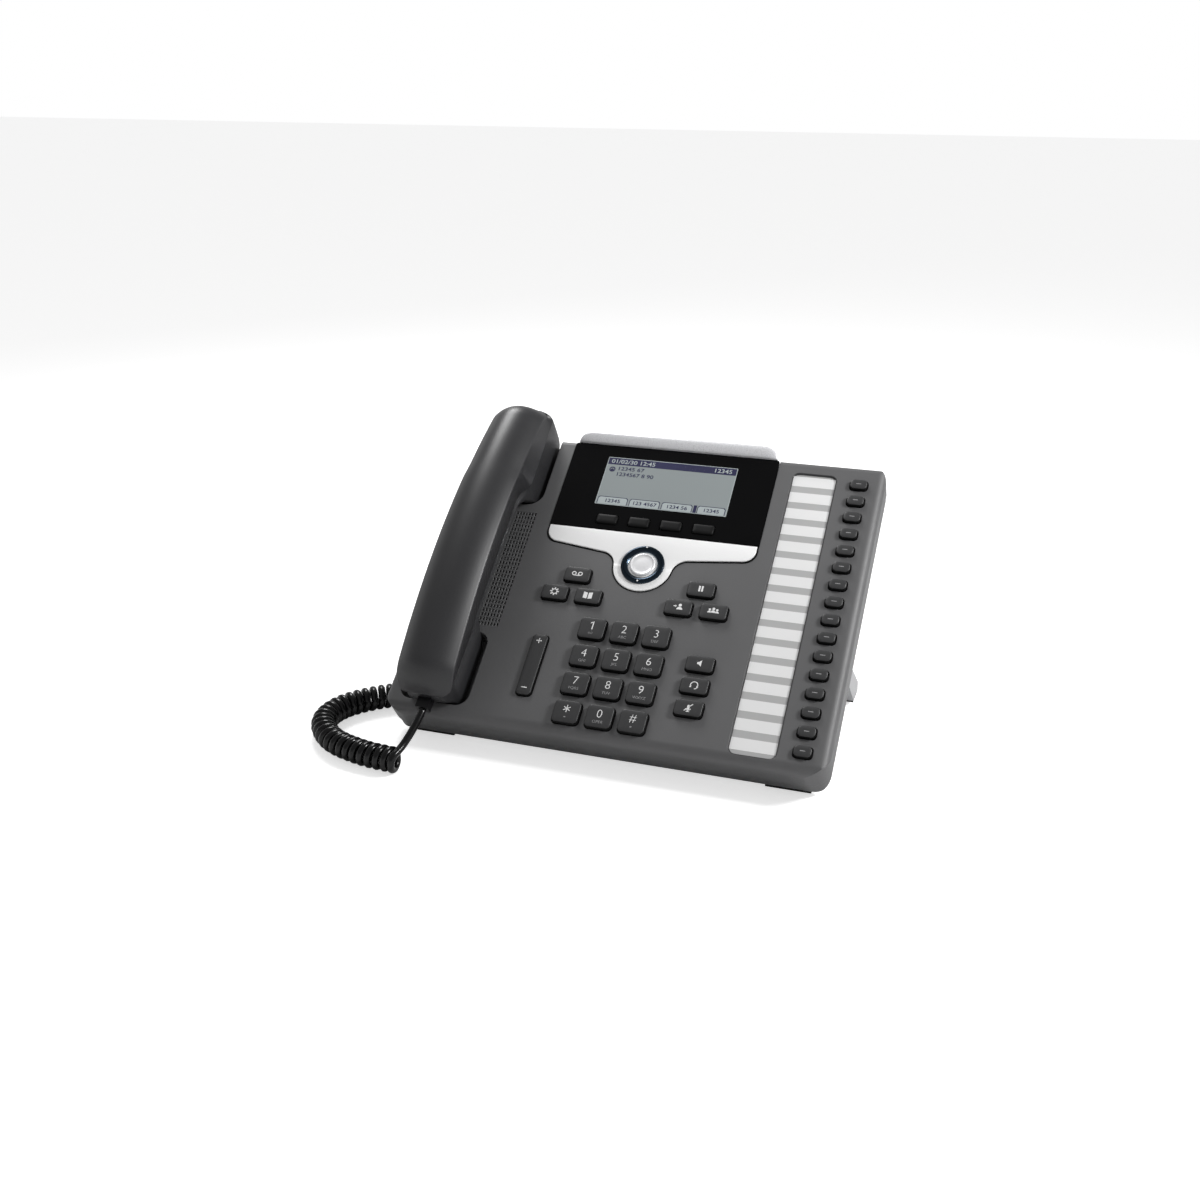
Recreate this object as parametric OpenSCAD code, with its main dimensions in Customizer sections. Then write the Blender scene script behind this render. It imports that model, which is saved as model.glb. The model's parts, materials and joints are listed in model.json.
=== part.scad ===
// Desk telephone for an office network: a tilted body with a display, number keys and sixteen line keys, a
// corded handset lying in two cradles, and a foot stand that hinges at the back.
//
// Two frames are used. The row frame has +X right, +Y away from the user and +Z up, with the desk at z = 0.
// The panel frame lies in the front face: u to the right, v up the face and w out of it.

/* [Body] */
// Width of the body
body_w = 264; // [262:1:300]
// Length of the body up the slope of its face
body_h = 207; // [206:1:230]
// Depth of the body, front face to back face
body_t = 28; // [27:0.5:34]
// Slope of the face from the desk
tilt = 36.6; // [33:0.5:40]
// Height of the body's lowest corner above the desk
desk_gap = 1; // [0.5:0.1:2]
// Thickness of the housing walls
wall = 2.5; // [2.2:0.1:2.8]
// Depth of the front housing, from the face to its seam with the back cover
seam_d = 17; // [16.5:0.5:18.5]
// Step of the back cover in from the front housing at the seam
seam_step = 0.6; // [0.3:0.1:1]
// Radius of the two lower corners of the face
corner_low_r = 13; // [9:1:16]
// Radius of the two upper corners of the face
corner_top_r = 8; // [7:1:11]
// Radius of the rounded upper edge
top_edge_r = 4; // [3.5:0.5:6]
// Radius of the rounded lower front edge
low_edge_r = 6; // [5:0.5:7]
// Radius of the rounded side edges of the face
side_edge_r = 5; // [4:0.5:6]
// Radius of the edges round the back
back_edge_r = 5; // [4:0.5:6]

/* [Display and trim] */
// Distance of the display's centre line from the left edge
screen_u = 131.7; // [131:0.1:133]
// Width of the black window
window_w = 132.8; // [128:0.5:134]
// Height of the black window
window_h = 64.2; // [62:0.2:65]
// Distance of the window's upper edge below the body's top edge
window_drop = 1.5; // [1.2:0.1:2]
// Thickness of the window
window_t = 1.6; // [1.4:0.1:1.8]
// Height of the window above the face
window_rise = 0.4; // [0.2:0.1:0.6]
// Width of the visible screen
lcd_w = 83.2; // [78:0.2:86]
// Height of the visible screen
lcd_h = 35.9; // [34:0.1:37]
// Distance of the screen's centre below the body's top edge
lcd_drop = 29; // [28.5:0.5:29.5]
// Thickness of the silver trim
trim_t = 2; // [1.6:0.1:2.2]
// Height of the trim above the face
trim_rise = 0.8; // [0.5:0.1:1]
// Radius of the trim's round part, below the navigation ring
trim_dip_r = 18.7; // [17.5:0.1:19.5]
// Radius of the message bar's ends
bar_end_r = 4; // [3:0.5:5]
// Reach of the message bar above the body's top edge
bar_reach = 5; // [4:0.5:6]
// Height of the message bar above the face
bar_rise = 1.6; // [1:0.1:2.5]

/* [Keys] */
// Travel of every push key
key_travel = 1.2; // [0.8:0.1:1.4]
// Gap between a key and its opening
key_gap = 0.5; // [0.3:0.05:0.6]
// Rise of the number keys above the face
number_rise = 3; // [2:0.1:3.2]
// Rise of the function keys above the face
function_rise = 2.8; // [2:0.1:3]
// Rise of the line keys above the face
line_rise = 2.4; // [1.6:0.1:2.6]
// Rise of the soft keys above the face
soft_rise = 1.9; // [1.6:0.1:2.4]
// Width of a number key
number_w = 15.8; // [14:0.2:16.4]
// Height of a number key
number_h = 14.2; // [12:0.2:15]
// Distance between number key columns
number_pitch_u = 19.66; // [19.5:0.02:20]
// Distance between number key rows
number_pitch_v = 18.65; // [18:0.05:18.8]
// Width of a function key
function_w = 16.2; // [14:0.2:16.8]
// Height of a function key
function_h = 10.2; // [9:0.2:10.6]
// Width of a line key
line_w = 10.2; // [9.4:0.1:11.5]
// Height of a line key
line_h = 7; // [6.4:0.1:7.6]
// Distance between line keys
line_pitch = 12.03; // [11.6:0.01:12.1]
// Width of a soft key
soft_w = 13; // [11:0.1:14]
// Height of a soft key
soft_h = 6.5; // [6:0.1:7]
// Distance between soft keys
soft_pitch = 20.5; // [19:0.1:21.5]
// Length of the volume rocker
rocker_h = 41; // [36:0.5:42]
// Width of the volume rocker
rocker_w = 9.4; // [8.4:0.1:9.6]
// Radius of the navigation ring
ring_r = 13.4; // [12.8:0.1:13.8]
// Radius of the select button
select_r = 8; // [7:0.1:8.6]

/* [Label strip] */
// Width of the recess for the line labels
label_w = 27.6; // [25:0.1:28]
// Length of the recess for the line labels
label_h = 193.2; // [192:0.1:194]
// Depth of that recess
label_d = 1.3; // [0.8:0.1:1.4]
// Thickness of the label card
label_t = 0.5; // [0.3:0.1:0.8]

/* [Handset] */
// Length of the handset
handset_l = 212; // [210:0.5:214]
// Width of the handset at its middle
handset_w = 41; // [39:0.5:42]
// Height of the handset's back above the face, at its middle
handset_top = 38; // [36:0.5:40]
// Height of the plane where the handset's two shells meet
handset_split = 16; // [15:0.5:17]
// Height of the grip's underside above the face
grip_gap = 12; // [11:0.5:12.5]
// Crown of the handset's back across its width
crown = 7; // [5:0.5:8]
// Thickness of the handset's walls
handset_wall = 2; // [1.6:0.1:2.4]
// Depth of both cradles below the face
cradle_d = 10.3; // [9.5:0.1:10.8]
// How far the handset lifts before it is clear
lift = 60; // [40:5:80]
// Travel of the hook switch as the handset lifts
hook_travel = 3; // [2:0.5:3]

/* [Stand] */
// Radius of the stand's hinge pins
pivot_r = 2.5; // [2:0.1:3]
// Radius of the stand's hinge knuckles
knuckle_r = 5; // [4.4:0.1:5.4]
// Width of each stand leg
leg_w = 8; // [7:0.5:9]
// Thickness of the stand's cross web
web_t = 3; // [2.5:0.1:4]
// Height of the rubber feet
foot_t = 3; // [2.5:0.1:4]

/* [Sockets and cord] */
// Width of a network socket's opening
network_w = 11.9; // [11.7:0.05:12.1]
// Height of a network socket's opening
network_h = 7.2; // [6.8:0.1:7.4]
// Width of a handset cord plug
plug_w = 7.7; // [7.4:0.05:8]
// Height of a handset cord plug
plug_h = 6; // [5.6:0.1:6.4]
// Radius of the wall bracket holes in the back
bracket_r = 2.1; // [1.8:0.1:2.5]
// Diameter of the handset cord
wire_d = 4; // [3.6:0.1:4.2]
// Outer diameter of the cord's coil
coil_d = 14.5; // [14:0.1:14.6]

/* [Fits] */
// Clearance between fixed pieces that fit inside each other
fit = 0.3; // [0.2:0.05:0.4]
// Gap where a moving piece rests on its stop
seat = 0.1; // [0.05:0.05:0.15]
// Clearance round a turning pin
run = 0.05; // [0.03:0.01:0.08]

/* [Hidden] */
$fn = 64;
eps = 0.01;

// Colours
housing_colour = "#4b4b4c";
handset_colour = "#38383a";
key_colour = "#333334";
stand_colour = "#a4a4a6";
rubber_colour = "#1c1c1c";
silver_colour = "#dfe0e2";
cord_colour = "#141414";

// The handset's course along the face
handset_u = 31;
handset_mid_v = 110;
handset_low_v = handset_mid_v - handset_l / 2;
end_round = [18, 20];
plan_r = 10;
sag = 6;
waist = 3.5;
end_stop = 75;
half_l = handset_l / 2;
// Stations along the handset, close together where its ends round over
handset_stations = concat(
    [for (a = [end_stop:-15:0]) handset_mid_v - half_l + end_round[0] * (1 - sin(a))],
    [for (k = [-3:3]) handset_mid_v + k * 22],
    [for (a = [0:15:end_stop]) handset_mid_v + half_l - end_round[0] * (1 - sin(a))]
);
function past(v, r) = min(r, max(0, abs(v - handset_mid_v) - (half_l - r)));
function rounded(x, r) = 1 - sqrt(1 - x * x / r / r);
// Height of the handset's back along its middle line
function back_line(v) = let (k = (v - handset_mid_v) / half_l)
    handset_top - sag * k * k - end_round[1] * rounded(past(v, end_round[0]), end_round[0]);

// Extents of the row frame. The lowest corner of the tilted body stands desk_gap above the desk.
c = cos(tilt);
s = sin(tilt);
panel_z = body_t * c + desk_gap;
back_y = (body_h - back_edge_r) * c + (body_t - back_edge_r) * s + back_edge_r;
front_y = min([for (v = handset_stations) v * c - back_line(v) * s]);
panel_y = -(front_y + back_y) / 2;

// A point of the panel frame in the row frame
function row_point(p) = [
    p[0] - body_w / 2,
    panel_y + p[1] * c - p[2] * s,
    panel_z + p[1] * s + p[2] * c
];

module on_panel() translate([-body_w / 2, panel_y, panel_z]) rotate([tilt, 0, 0]) children();

// A side outline, drawn as [v, w], made solid from u = from over a length along u
module across(from, length) translate([from, 0, 0]) rotate([90, 0, 90]) linear_extrude(length) children();

// ---------------------------------------------------------------- flat shapes

// Points on an arc round a centre, from one angle to another
function arc(centre, r, from, to, steps) =
    [for (i = [0:steps]) let (a = from + (to - from) * i / steps) centre + r * [cos(a), sin(a)]];

// Rectangle with its own radius at each corner, in the order low left, low right, high right, high left
module corner_rect(size, r) {
    x = size[0];
    y = size[1];
    polygon([
        [r[0], 0], [x - r[1], 0], [x, r[1]], [x, y - r[2]],
        [x - r[2], y], [r[3], y], [0, y - r[3]], [0, r[0]]
    ]);
    translate([r[0], r[0]]) circle(r[0]);
    translate([x - r[1], r[1]]) circle(r[1]);
    translate([x - r[2], y - r[2]]) circle(r[2]);
    translate([r[3], y - r[3]]) circle(r[3]);
}

// Centred rectangle with one radius
module pad(size, r) translate(-size / 2) corner_rect(size, [r, r, r, r]);

// Solid through a row of rings with equal counts of points, each ring clockwise seen from the row's end
module loft(rings) {
    n = len(rings);
    m = len(rings[0]);
    polyhedron(
        points = [for (ring = rings, p = ring) p],
        faces = concat(
            [[for (k = [0:m - 1]) k]],
            [for (i = [0:n - 2], k = [0:m - 1]) [i * m + k, (i + 1) * m + k, (i + 1) * m + (k + 1) % m]],
            [for (i = [0:n - 2], k = [0:m - 1]) [i * m + k, (i + 1) * m + (k + 1) % m, i * m + (k + 1) % m]],
            [[for (k = [m - 1:-1:0]) (n - 1) * m + k]]
        )
    );
}

// ---------------------------------------------------------------- body shells

// The body as one solid, drawn in by inset on every side
module body_solid(inset) {
    flat = [body_w - 2 * inset, body_h - 2 * inset];
    deep = body_t - 2 * inset;
    low = corner_low_r - inset;
    high = corner_top_r - inset;
    back = back_edge_r - inset;
    side = side_edge_r - inset;
    intersection() {
        translate([inset, inset, -body_t + inset]) linear_extrude(deep)
            corner_rect(flat, [low, low, high, high]);
        translate([0, inset, -body_t + inset]) across(inset, flat[0])
            corner_rect([flat[1], deep], [back, back, top_edge_r - inset, low_edge_r - inset]);
        translate([inset, body_h - inset, -body_t + inset]) rotate([90, 0, 0]) linear_extrude(flat[1])
            corner_rect([flat[0], deep], [back, back, side, side]);
    }
}

// Height of the back cover's flat face
back_w = -body_t + seam_step;

// Everything between two heights w, wider than the body
module layer(low, high) translate([-20, -20, low]) cube([body_w + 40, body_h + 40, high - low]);

// ---------------------------------------------------------------- places of keys, as [u, v]

window_top_v = body_h - window_drop;
window_v = window_top_v - window_h;
lcd_v = body_h - lcd_drop;

number_mid = [132.8, 41.7];
function number_at(i) = number_mid + [(i % 3 - 1) * number_pitch_u, (1.5 - floor(i / 3)) * number_pitch_v];

group_low_v = 91.2;
group_rise = 14.1;
group_step = 10.6;
left_group_u = 94;
right_group_u = 171.1;
audio_at = [181.7, 56];
audio_pitch = 14.3;
function group_at(u) = [
    [u, group_low_v + group_rise], [u - group_step, group_low_v], [u + group_step, group_low_v]
];
function_places = concat(
    group_at(left_group_u), group_at(right_group_u),
    [for (i = [0:2]) audio_at - [0, i * audio_pitch]]
);

soft_v = window_v + 7;
function soft_at(i) = [screen_u + (i - 1.5) * soft_pitch, soft_v];

line_u = body_w - 15.1;
line_top_v = body_h - 14.7;
function line_at(i) = [line_u, line_top_v - i * line_pitch];

rocker_at = [83.75, 41];
nav_at = [screen_u, window_v - 23.3];

module at(place) translate([place[0], place[1], 0]) children();

// A flat shape cut right through a wall whose top lies at height top
module through(top) translate([0, 0, top - wall - 1]) linear_extrude(wall + 2) children();

// ---------------------------------------------------------------- layers under the face

flange_t = 1;
flange_w = 1.1;
stem_r = 1.7;
stem_hole_r = 2.3;
dome_r = 3.4;
mat_t = 1.2;
board_t = 1.6;
flange_low = -(wall + seat + flange_t);
dome_top = flange_low - key_travel - fit;
mat_top = dome_top - 1.4;
board_top = mat_top - mat_t;
stem_low = board_top + seat + key_travel;
board_low = board_top - board_t;

// Corner radii of the keys
number_r = 2.6;
function_r = 2;
soft_r = 1.2;
line_r = 2;
rocker_r = 2.5;

// Openings in the face, drawn flat, for every key
module key_openings() {
    grow = 2 * key_gap * [1, 1];
    for (i = [0:11]) at(number_at(i)) pad([number_w, number_h] + grow, number_r + key_gap);
    for (p = function_places) at(p) pad([function_w, function_h] + grow, function_r + key_gap);
    for (i = [0:3]) at(soft_at(i)) pad([soft_w, soft_h] + grow, soft_r + key_gap);
    for (i = [0:15]) at(line_at(i)) pad([line_w, line_h] + grow, line_r + key_gap);
    at(rocker_at) pad([rocker_w, rocker_h] + grow, rocker_r + key_gap);
    at(nav_at) circle(ring_r + key_gap);
}

// ---------------------------------------------------------------- trim outline

trim_end_r = 8;
trim_fall = 6.9;
trim_end_v = window_v - 13.3;
fillet_r = 9;
// Right half of the trim's lower outline: a line falling towards the middle, a fillet and the round dip.
// It is grown outwards by g.
function trim_half(g) = let (
    half = window_w / 2 + g,
    dip = [0, nav_at[1]],
    r = trim_dip_r + g,
    f = fillet_r - g,
    end = [half - trim_end_r, trim_end_v + trim_end_r - g],
    along = [cos(trim_fall), sin(trim_fall)],
    up = [-sin(trim_fall), cos(trim_fall)],
    start = end - trim_end_r * up,
    drop = up * (dip - start),
    fillet = dip + up * (-f - drop) + along * sqrt((r + f) * (r + f) - (f + drop) * (f + drop)),
    meet = atan2(fillet[1] - dip[1], fillet[0] - dip[0])
) concat(
    arc(dip, r, -90, meet, 14),
    arc(fillet, f, meet + 180, 90 + trim_fall, 8),
    arc(end, trim_end_r, trim_fall - 90, 0, 8)
);
function mirrored(points) = [for (i = [len(points) - 1:-1:0]) [-points[i][0], points[i][1]]];
// Closed outline of the trim, with its straight upper edge at height top
function trim_outline(g, top) = let (half = trim_half(g), end = half[len(half) - 1][0]) concat(
    mirrored(half), half, [[end, top], [-end, top]]
);

window_low = window_rise - window_t;
trim_low = trim_rise - trim_t;

// ---------------------------------------------------------------- message bar outline, as [v, w]

// The glass of the screen stands in a frame, with a narrow border round what shows
lcd_frame = 3;
lcd_border = 0.5;
bar_inner_v = lcd_v + lcd_h / 2 + lcd_frame + fit;
bar_foot_w = -9;
bar_low = -12;
bar_r = 2.4;
bar_end_v = body_h + bar_reach;
module bar_outline(g) {
    translate([bar_inner_v - g, bar_foot_w - g])
        square([window_top_v - bar_inner_v + fit + 2 * g, window_low - seat - bar_foot_w + 2 * g]);
    translate([window_top_v + fit - g, bar_low - g])
        corner_rect([bar_end_v - window_top_v - fit + 2 * g, bar_rise - bar_low + 2 * g],
            [0.6, 0.6, bar_r, 0.6]);
}

// ---------------------------------------------------------------- cradles

cup_u = [8, 51.8];
cup_v = handset_low_v * [1, 1] + [4, 54.2];
cup_r = 8;
ear_u = [7, 55];
ear_v = handset_low_v + 149.5;
ear_r = 10;
// Both cradle recesses as one solid, drawn out by g. The upper one is open at the body's top edge.
module cradles(g) {
    deep = cradle_d + g;
    translate([cup_u[0] - g, cup_v[0] - g, -deep]) linear_extrude(deep + 1)
        corner_rect([cup_u[1] - cup_u[0], cup_v[1] - cup_v[0]] + 2 * g * [1, 1], (cup_r + g) * [1, 1, 1, 1]);
    translate([ear_u[0] - g, ear_v - g, -deep]) linear_extrude(deep + 1)
        corner_rect([ear_u[1] - ear_u[0] + 2 * g, body_h - ear_v + 20], [ear_r + g, ear_r + g, 1, 1]);
}

// Pin of the volume rocker and the two posts that hold it under the face
rocker_axis_w = -4.2;
rocker_pin_r = 1;
rocker_post_t = 2;
rocker_post_v = 4.8;
rocker_post_low = rocker_axis_w - 1.9;
rocker_post_in = rocker_w / 2 + key_gap + fit;
module rocker_posts() at(rocker_at) for (side = [-1, 1]) difference() {
    mid = side * (rocker_post_in + rocker_post_t / 2);
    translate([mid - rocker_post_t / 2, -rocker_post_v / 2, rocker_post_low])
        cube([rocker_post_t, rocker_post_v, -rocker_post_low - wall / 2]);
    translate([-20, 0, rocker_axis_w]) rotate([0, 90, 0]) cylinder(r = rocker_pin_r + run, h = 40);
}

hook_at = [handset_u, ear_v + 12.5];
hook_size = [12, 6];

// ---------------------------------------------------------------- screws

screw_places = [[67, 24], [214, 14], [70, 116], [214, 190], [26, 74], [26, 140]];
boss_r = 3.6;
pilot_r = 1.25;
screw_r = 1.2;
screw_head_r = 2.8;
screw_head_t = 2;
boss_low = -seam_d;
// Depth of the pocket round a screw's head, from the back face
head_pocket = 3;
// How far a screw reaches into its boss in the front housing
screw_reach = 8;
screw_shank = -seam_d + screw_reach - back_w - head_pocket;

// ---------------------------------------------------------------- grille and label places

grille_u = 41.4;
grille_v = 63.5;
grille_columns = 7;
grille_rows = 27;
grille_pitch = [2, 3.15];
slot_size = [1, 2.1];
label_left = body_w - 28.6 - label_w;
label_low = body_h - 9 - label_h;
label_corner = 4.5;

module front_housing() color(housing_colour) on_panel() difference() {
    union() {
        intersection() {
            difference() {
                body_solid(0);
                body_solid(wall);
            }
            layer(-seam_d, 1);
        }
        intersection() {
            body_solid(0);
            cradles(wall);
            layer(-seam_d, 1);
        }
        for (p = screw_places) at(p) translate([0, 0, boss_low])
            cylinder(r = boss_r, h = -boss_low - wall / 2);
        rocker_posts();
    }
    cradles(0);
    through(0) key_openings();
    // Seats of the window and the trim
    translate([screen_u - window_w / 2 - fit, window_v - fit, window_low - seat])
        cube([window_w + 2 * fit, body_h, 20]);
    translate([screen_u, 0, trim_low - seat]) linear_extrude(20) polygon(trim_outline(fit, window_v + 1));
    through(0) at([screen_u, lcd_v]) pad([lcd_w, lcd_h] + 2 * (lcd_border + 2 * fit) * [1, 1], 1);
    across(screen_u - window_w / 2 - fit, window_w + 2 * fit) bar_outline(seat);
    translate([label_left, label_low, -label_d]) linear_extrude(20)
        corner_rect([label_w, label_h], label_corner * [1, 1, 1, 1]);
    through(0) for (i = [0:grille_columns - 1], k = [0:grille_rows - 1])
        at([grille_u + i * grille_pitch[0], grille_v + k * grille_pitch[1]]) square(slot_size);
    through(-cradle_d) at(hook_at) pad(hook_size + 2 * fit * [1, 1], 1 + fit);
    for (p = screw_places) at(p) translate([0, 0, boss_low - 1]) cylinder(r = pilot_r, h = screw_reach + 2);
}

// ---------------------------------------------------------------- back cover

hinge_v = 88;
hinge_w = back_w - knuckle_r - 1;
leg_inset = 6.5;
ear_t = 2.5;
ear_root = 4;
leg_gap = 0.3;
pocket_u = [84, 192];
pocket_v = [84, 118];
pocket_floor = -15;
socket_w = -20.4;
handset_socket_u = 94;
headset_socket_u = 110;
power_socket_u = 178;
network_us = [132, 154];
power_r = 3;
bracket_places = [[66, 60], [198, 60]];
bracket_boss_t = 2;
bracket_deep = 8;
vent_at = [90, 140];
vent_size = [84, 2];
vent_pitch = 6;
vent_rows = 6;

// Side positions of the left leg and its mirror image
function leg_u(side) = side == 0 ? leg_inset : body_w - leg_inset - leg_w;

// Hinge ear, outlined as [v, w], standing on the back face
module ear_outline() {
    translate([hinge_v, hinge_w]) circle(knuckle_r);
    translate([hinge_v - knuckle_r, hinge_w]) square([2 * knuckle_r, back_w - hinge_w + ear_root]);
}

// Where the two hinge ears of one leg stand. The outer ear lies outside the leg.
function ears_u(side) = [leg_u(side) - leg_gap - ear_t, leg_u(side) + leg_w + leg_gap];

plug_hole = [plug_w, plug_h] + 2 * fit * [1, 1];
// Square hole for a plug, from height v up the face and deep mm long
module socket_hole(u, size, v, deep) translate([u - size[0] / 2, v - 1, socket_w - size[1] / 2])
    cube([size[0], deep + 1, size[1]]);

module back_cover() color(housing_colour) on_panel() difference() {
    union() {
        difference() {
            intersection() {
                body_solid(seam_step);
                layer(-body_t, -seam_d);
            }
            body_solid(wall + seam_step);
        }
        intersection() {
            body_solid(seam_step);
            translate([pocket_u[0] - wall, pocket_v[0] - wall, -body_t])
                cube([pocket_u[1] - pocket_u[0] + 2 * wall, pocket_v[1] - pocket_v[0] + 2 * wall,
                    body_t + pocket_floor + wall]);
        }
        for (side = [0, 1], u = ears_u(side)) across(u, ear_t) ear_outline();
        for (p = screw_places) at(p) translate([0, 0, -body_t + 1])
            cylinder(r = boss_r, h = body_t - 1 - seam_d);
        for (p = bracket_places) at(p) translate([0, 0, -body_t + 1])
            cylinder(r = bracket_r + bracket_boss_t, h = bracket_deep - 1);
    }
    translate([pocket_u[0], pocket_v[0], -body_t - 1])
        cube([pocket_u[1] - pocket_u[0], pocket_v[1] - pocket_v[0], body_t + 1 + pocket_floor]);
    for (u = network_us) socket_hole(u, [network_w, network_h], pocket_v[1], 2 * wall);
    for (u = [handset_socket_u, headset_socket_u]) socket_hole(u, plug_hole, pocket_v[1], 2 * wall);
    translate([power_socket_u, pocket_v[1] - 1, socket_w]) rotate([-90, 0, 0])
        cylinder(r = power_r, h = 2 * wall + 1);
    for (side = [0, 1], u = ears_u(side)) translate([u - 1, hinge_v, hinge_w]) rotate([0, 90, 0])
        cylinder(r = pivot_r + run, h = ear_t + 2);
    for (p = screw_places) at(p) {
        translate([0, 0, -body_t - 1]) cylinder(r = screw_r + fit, h = body_t);
        translate([0, 0, back_w - 1]) cylinder(r = screw_head_r + fit, h = head_pocket + 1);
    }
    for (p = bracket_places) at(p) translate([0, 0, -body_t - 1])
        cylinder(r = bracket_r, h = bracket_deep + 2);
    for (i = [0:vent_rows - 1]) at(vent_at + [0, i * vent_pitch]) translate([0, 0, -body_t - 1])
        linear_extrude(wall + seam_step + 2) square(vent_size);
}

module housing_screws() color("#8c8c8c") on_panel() for (p = screw_places) at(p) {
    translate([0, 0, back_w + head_pocket - screw_head_t - seat])
        cylinder(r = screw_head_r, h = screw_head_t);
    translate([0, 0, back_w + head_pocket - seat - eps]) cylinder(r = screw_r, h = screw_shank);
}

// ---------------------------------------------------------------- display, trim, bar and label

module display_window() color("#0c0c0d") on_panel() difference() {
    translate([screen_u, window_v, window_low]) linear_extrude(window_t)
        translate([-window_w / 2, 0]) corner_rect([window_w, window_h], [0.6, 0.6, 1.2, 1.2]);
    for (i = [0:3]) at(soft_at(i)) translate([0, 0, -5]) linear_extrude(10)
        pad([soft_w, soft_h] + 2 * key_gap * [1, 1], soft_r + key_gap);
}

module lcd_module() color("#8e9696") on_panel() translate([screen_u, lcd_v, 0]) {
    translate([0, 0, -wall - seat]) linear_extrude(wall + window_low)
        pad([lcd_w, lcd_h] + 2 * lcd_border * [1, 1], 0.5);
    translate([0, 0, board_top + seat]) linear_extrude(-wall - 2 * seat - board_top)
        pad([lcd_w, lcd_h] + 2 * lcd_frame * [1, 1], 1);
}

module nav_trim() color(silver_colour) on_panel() difference() {
    translate([screen_u, 0, trim_low]) linear_extrude(trim_t) polygon(trim_outline(0, window_v - 0.2));
    at(nav_at) translate([0, 0, -5]) cylinder(r = ring_r + key_gap, h = 10);
}

module message_bar() color("#c4c6ca") on_panel() intersection() {
    across(screen_u - window_w / 2, window_w) bar_outline(0);
    translate([screen_u - window_w / 2, bar_inner_v - 10, bar_low - 1]) linear_extrude(30)
        corner_rect([window_w, bar_end_v - bar_inner_v + 10], [1, 1, bar_end_r, bar_end_r]);
}

module label_card() color("#d6d6d6") on_panel()
    translate([label_left + fit, label_low + fit, -label_d + seat]) linear_extrude(label_t)
        corner_rect([label_w - 2 * fit, label_h - 2 * fit], (label_corner - fit) * [1, 1, 1, 1]);

// ---------------------------------------------------------------- boards and other inner pieces

board_left = 57.5;
board_right = body_w - 7;
board_low_v = 6;
board_high_v = body_h - 8;
chip_places = [[150, 60], [110, 62], [186, 66]];
chip_size = 14;
chip_t = 1.4;
module circuit_board() color("#1f5a3a") on_panel() difference() {
    union() {
        translate([board_left, board_low_v, board_low])
            cube([board_right - board_left, board_high_v - board_low_v, board_t]);
        for (p = chip_places) at(p) translate([0, 0, board_low - chip_t]) linear_extrude(chip_t + eps)
            square(chip_size, center = true);
    }
    for (p = screw_places) at(p) translate([0, 0, board_low - 3]) cylinder(r = boss_r + fit, h = 10);
}

// The row of sockets behind the cover's pocket, soldered under the board
jack_deep = 14;
jack_side = 2;
network_deep = jack_deep - 2;
plug_deep = jack_deep - 3;
power_deep = 9;
jack_front = pocket_v[1] + wall + seat;
module jack_block() color("#2a2a2c") on_panel() difference() {
    translate([pocket_u[0] + jack_side, jack_front, -body_t + wall + seam_step + fit]) cube([
        pocket_u[1] - pocket_u[0] - 2 * jack_side, jack_deep,
        body_t + board_low - wall - seam_step - fit - seat
    ]);
    for (u = network_us) socket_hole(u, [network_w, network_h], jack_front, network_deep);
    for (u = [handset_socket_u, headset_socket_u]) socket_hole(u, plug_hole, jack_front, plug_deep);
    translate([power_socket_u, jack_front - 1, socket_w]) rotate([-90, 0, 0])
        cylinder(r = power_r, h = power_deep + 1);
}

// Pieces of the mat as [left, low, width, height], each lying on the board
mat_pieces = [
    [75, board_low_v + 0.5, 116, 106],
    [nav_at[0] - 17, board_low_v + 106, 34, 23],
    [screen_u - 40, soft_v - 5, 80, 10],
    [line_u - 7.5, board_low_v + 0.5, 15, board_high_v - board_low_v - 1]
];
// Silicone mat with a hollow dome under each key
module key_mat() color("#77797c") on_panel() difference() {
    stems = concat(
        [for (i = [0:11]) number_at(i)], function_places, [for (i = [0:3]) soft_at(i)],
        [for (i = [0:15]) line_at(i)], [nav_at]
    );
    union() {
        for (p = mat_pieces) translate([p[0], p[1], board_top]) cube([p[2], p[3], mat_t]);
        for (p = stems) at(p) translate([0, 0, board_top]) cylinder(r = dome_r, h = dome_top - board_top);
    }
    for (p = stems) at(p) translate([0, 0, board_top - 1]) cylinder(r = stem_hole_r, h = 12);
    for (p = screw_places) at(p) translate([0, 0, board_top - 1]) cylinder(r = boss_r + fit, h = 12);
}

speaker_at = [33, 105];
speaker_r = 18;
magnet_r = 9;
speaker_rim_t = 3;
cone_t = 5;
// Rim, cone and magnet, one below the other
module loudspeaker() color("#3d3d40") on_panel() at(speaker_at)
translate([0, 0, -wall - seat - speaker_rim_t]) {
    cylinder(r = speaker_r, h = speaker_rim_t);
    translate([0, 0, -cone_t]) cylinder(r1 = magnet_r, r2 = speaker_r - 1, h = cone_t + eps);
    translate([0, 0, -2 * cone_t]) cylinder(r = magnet_r, h = cone_t + eps);
}

// ---------------------------------------------------------------- feet and stand

foot_inset = 24;
foot_us = [foot_inset, body_w - foot_inset];
foot_long = 26;
foot_v = [5.5, 12.5];
// Wedge between the back face and the desk, in row frame side view [y, z]
module front_feet() color(rubber_colour) for (u = foot_us) {
    a = row_point([u, foot_v[0], back_w]);
    b = row_point([u, foot_v[1], back_w]);
    translate([a[0] - foot_long / 2, 0, 0]) rotate([90, 0, 90]) linear_extrude(foot_long)
        polygon([[a[1], 0], [b[1], 0], [b[1], b[2]], [a[1], a[2]]]);
}

// The leg's outline in the panel frame, as [v, w]. Its tip lies on the desk.
function desk_w(v) = -(panel_z + v * s) / c;
tip_v = [99, 112];
heel_v = 115;
heel_rise = 7;
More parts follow.
